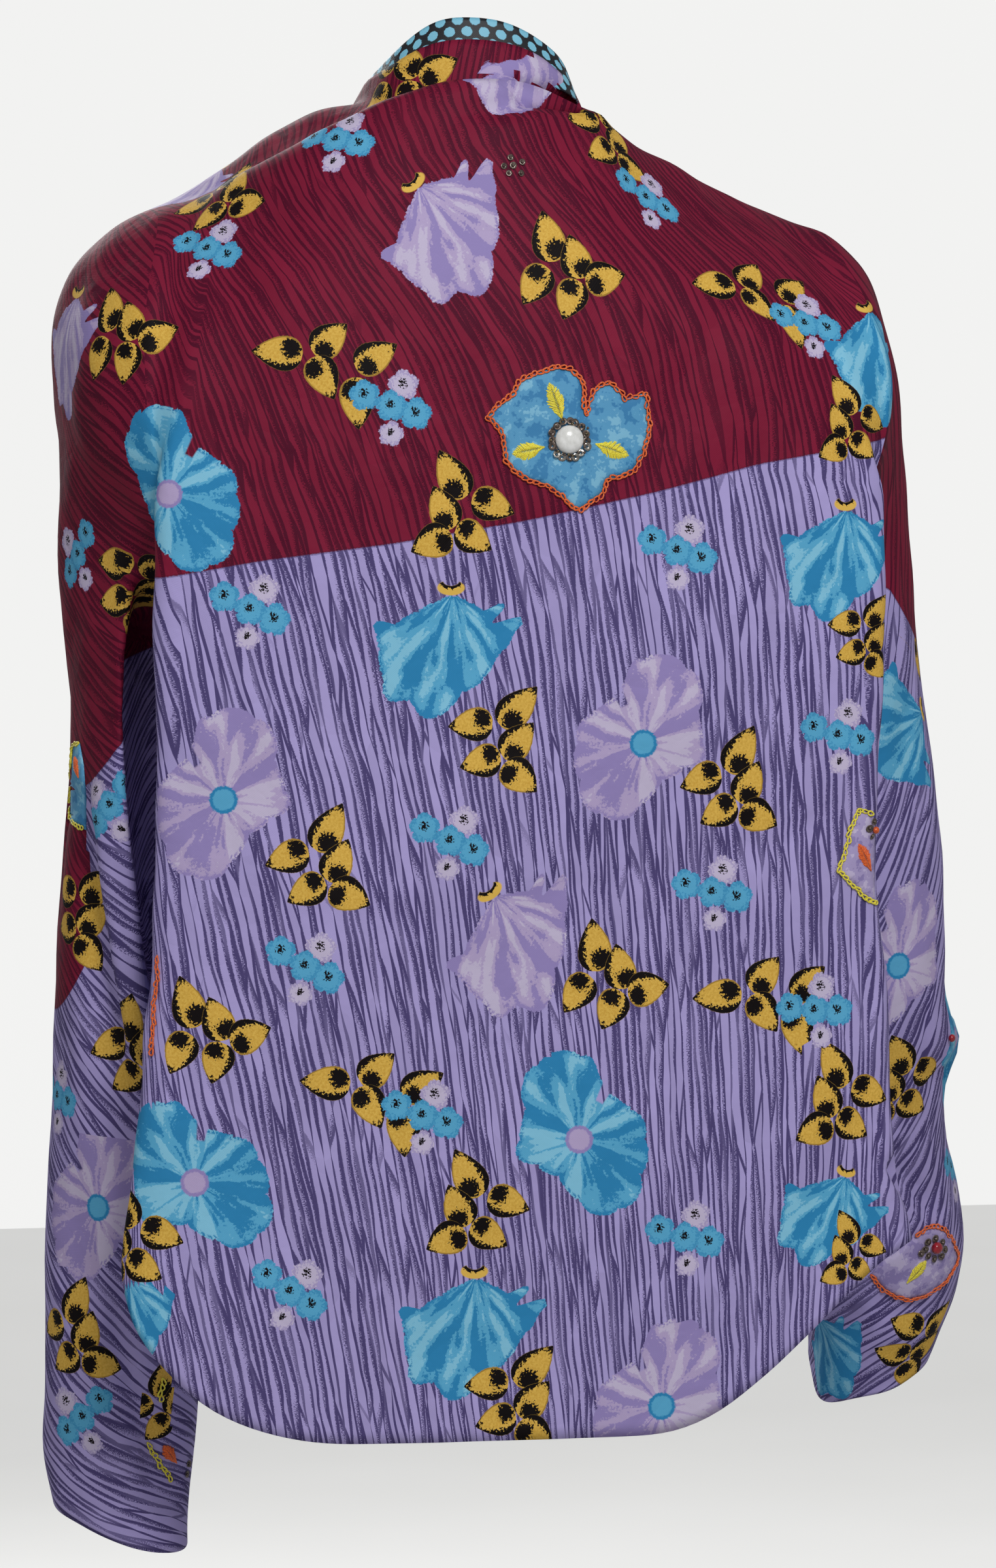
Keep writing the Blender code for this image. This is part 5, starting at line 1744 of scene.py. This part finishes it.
# loose lines of chain stitch on the folds and the cuff
looseLines = {
    "foldStitch": (((243, 1462), (243, 1505), (237, 1551), (235, 1615)), orangeThread, "back"),
    "cuffStitch": (((224, 2207), (240, 2236), (265, 2268)), yellowThread, "sleeveLeft"),
    "cuffStitchUpper": (((247, 2108), (245, 2130), (246, 2150)), yellowThread, "sleeveLeft"),
}
for name, (line, thread, piece) in looseLines.items():
    chainStitch(name, thread, line, piece, seed=len(name), wild=1.3)

# single leaves: base and tip in pixels, width in mm, thread and piece
smallLeaves = {
    "sideLeaf": ((1330, 1334), (1314, 1296), 6.5, orangeThread, "back"),
    "elbowLeaf": ((1385, 1963), (1412, 1932), 6.5, yellowThread, "sleeveRight"),
    "sleeveLeaf": ((125, 1192), (118, 1163), 6, orangeThread, "sleeveLeft"),
    "cuffLeaf": ((268, 2240), (252, 2216), 6, orangeThread, "sleeveLeft"),
}
for number, (name, (base, tip, width, thread, piece)) in enumerate(smallLeaves.items()):
    mesh = bmesh.new()
    satinLeaf(mesh, base, tip, width, piece, seed=60 + number)
    sewOn(mesh, name, thread)

# sequins by their pixels, each with its size; how far they stand off the cloth, in mm, and their piece
scattered = {
    "elbowSequins": (((1412, 1910, 1), (1416, 1899, 1), (1427, 1894, 1), (1437, 1900, 1), (1441, 1911, 1),
                      (1436, 1921, 1), (1425, 1925, 1), (1416, 1920, 1), (1406, 1917, .9)), 0.9,
                     "sleeveRight"),
    "sideSequins": (((1327, 1267, 1), (1333, 1257, .9), (1330, 1279, .8)), 0.8, "back"),
    "napeSequins": (((780, 242, .8), (798, 249, .8), (770, 255, .8), (784, 254, .9), (778, 266, .8),
                     (796, 266, .8)), 0, "back"),
    "cuffSequins": (((286, 2240, .9), (283, 2256, .9)), 0, "sleeveLeft"),
}
for number, (name, (places, lift, piece)) in enumerate(scattered.items()):
    mesh = bmesh.new()
    rng = random.Random(90 + number)
    for across, down, size in places:
        where, facing = onCloth(across, down, piece, lift)
        addSequin(mesh, where, facing, tilt=rng.uniform(-0.4, 0.4), turn=rng.uniform(0, 6), size=size)
        turnedShape(mesh, where + facing * sequin["knotLift"], facing, sequin["knot"], 8)
    sewOn(mesh, name, darkSequin)

# round beads: pixel, radius in mm, how far they stand off the cloth, and piece
beads = {
    "elbowBead": ((1426, 1907), 3.1, redBead, 0.6, "sleeveRight"),
    "bulgeBead": ((1450, 1588), 2, redBead, 0, "sleeveRight"),
    "sideBead": ((1334, 1270), 1.8, orangeBead, 0.3, "back"),
}
for name, (spot, radius, material, lift, piece) in beads.items():
    where, facing = onCloth(*spot, piece, lift)
    angles = [math.pi * step / 10 for step in range(1, 10)]
    profile = [(radius * math.sin(angle), radius * 0.85 * (1 - math.cos(angle))) for angle in angles]
    mesh = bmesh.new()
    turnedShape(mesh, where, facing, profile + [(0.03, radius * 1.7)], 18)
    sewOn(mesh, name, material)
print("hand work sewn on:", len(handWork), "pieces")


# Floor, light and camera

# the floor and the dome in mm, the lamps in metres: place, power and width
studio = {
    "floor": -1350, "floorHalf": 6000, "domeRadius": 9000, "world": "#FFFFFF", "worldStrength": 0.28,
    "aim": (0, 0, -0.25),
    "lamps": {"keyLight": ((0.25, -2.5, 1.35), 44, 0.8), "fillLight": ((-1.6, -2.6, 0.3), 6, 1.8),
              "frontLight": ((-0.6, 3, 1), 50, 1.6)},
}

half, height = studio["floorHalf"], studio["floor"]
floorData = bpy.data.meshes.new("floor")
corners = [(across * half, along * half, height) for across, along in ((-1, -1), (1, -1), (1, 1), (-1, 1))]
floorData.from_pydata(corners, [], [(0, 1, 2, 3)])
floor = finished(floorData, "floor", makeStudioSheet("studioPaper"))
floor.visible_diffuse = floor.visible_glossy = False

# a pale dome all round, which the camera sees but which doesn't light the cloth
dome = bmesh.new()
bmesh.ops.create_uvsphere(dome, u_segments=48, v_segments=24, radius=studio["domeRadius"])
backdrop = finished(meshFrom(dome, "backdrop"), "backdrop", makeStudioSheet("paintedCanvas"))
backdrop.visible_diffuse = backdrop.visible_glossy = backdrop.visible_shadow = False

for name, (place, power, width) in studio["lamps"].items():
    lamp = bpy.data.lights.new(name, "AREA")
    lamp.energy, lamp.size = power, width
    light = bpy.data.objects.new(name, lamp)
    light.location = place
    light.rotation_euler = (Vector(studio["aim"]) - Vector(place)).to_track_quat("-Z", "Y").to_euler()
    scene.collection.objects.link(light)
world = bpy.data.worlds.new("studio")
world.use_nodes = True
background = world.node_tree.nodes["Background"].inputs
background["Color"].default_value = fromHex(studio["world"])
background["Strength"].default_value = studio["worldStrength"]
scene.world = world
scene.view_settings.view_transform = "Standard"      # the hex colours above show as they are written

sensor = 36
lens = bpy.data.cameras.new("photoCamera")
lens.sensor_width, lens.sensor_fit = sensor, "AUTO"
lens.lens = sensor * view["distance"] / (view["height"] * pixelSize)
lens.clip_start, lens.clip_end = 0.1, 50
camera = bpy.data.objects.new("photoCamera", lens)
camera.matrix_world = Matrix(((*viewRight, 0), (*viewUp, 0), (*-viewIn, 0), (*(eye * mm), 1))).transposed()
scene.collection.objects.link(camera)
scene.camera = camera

print("floor, light and camera placed")
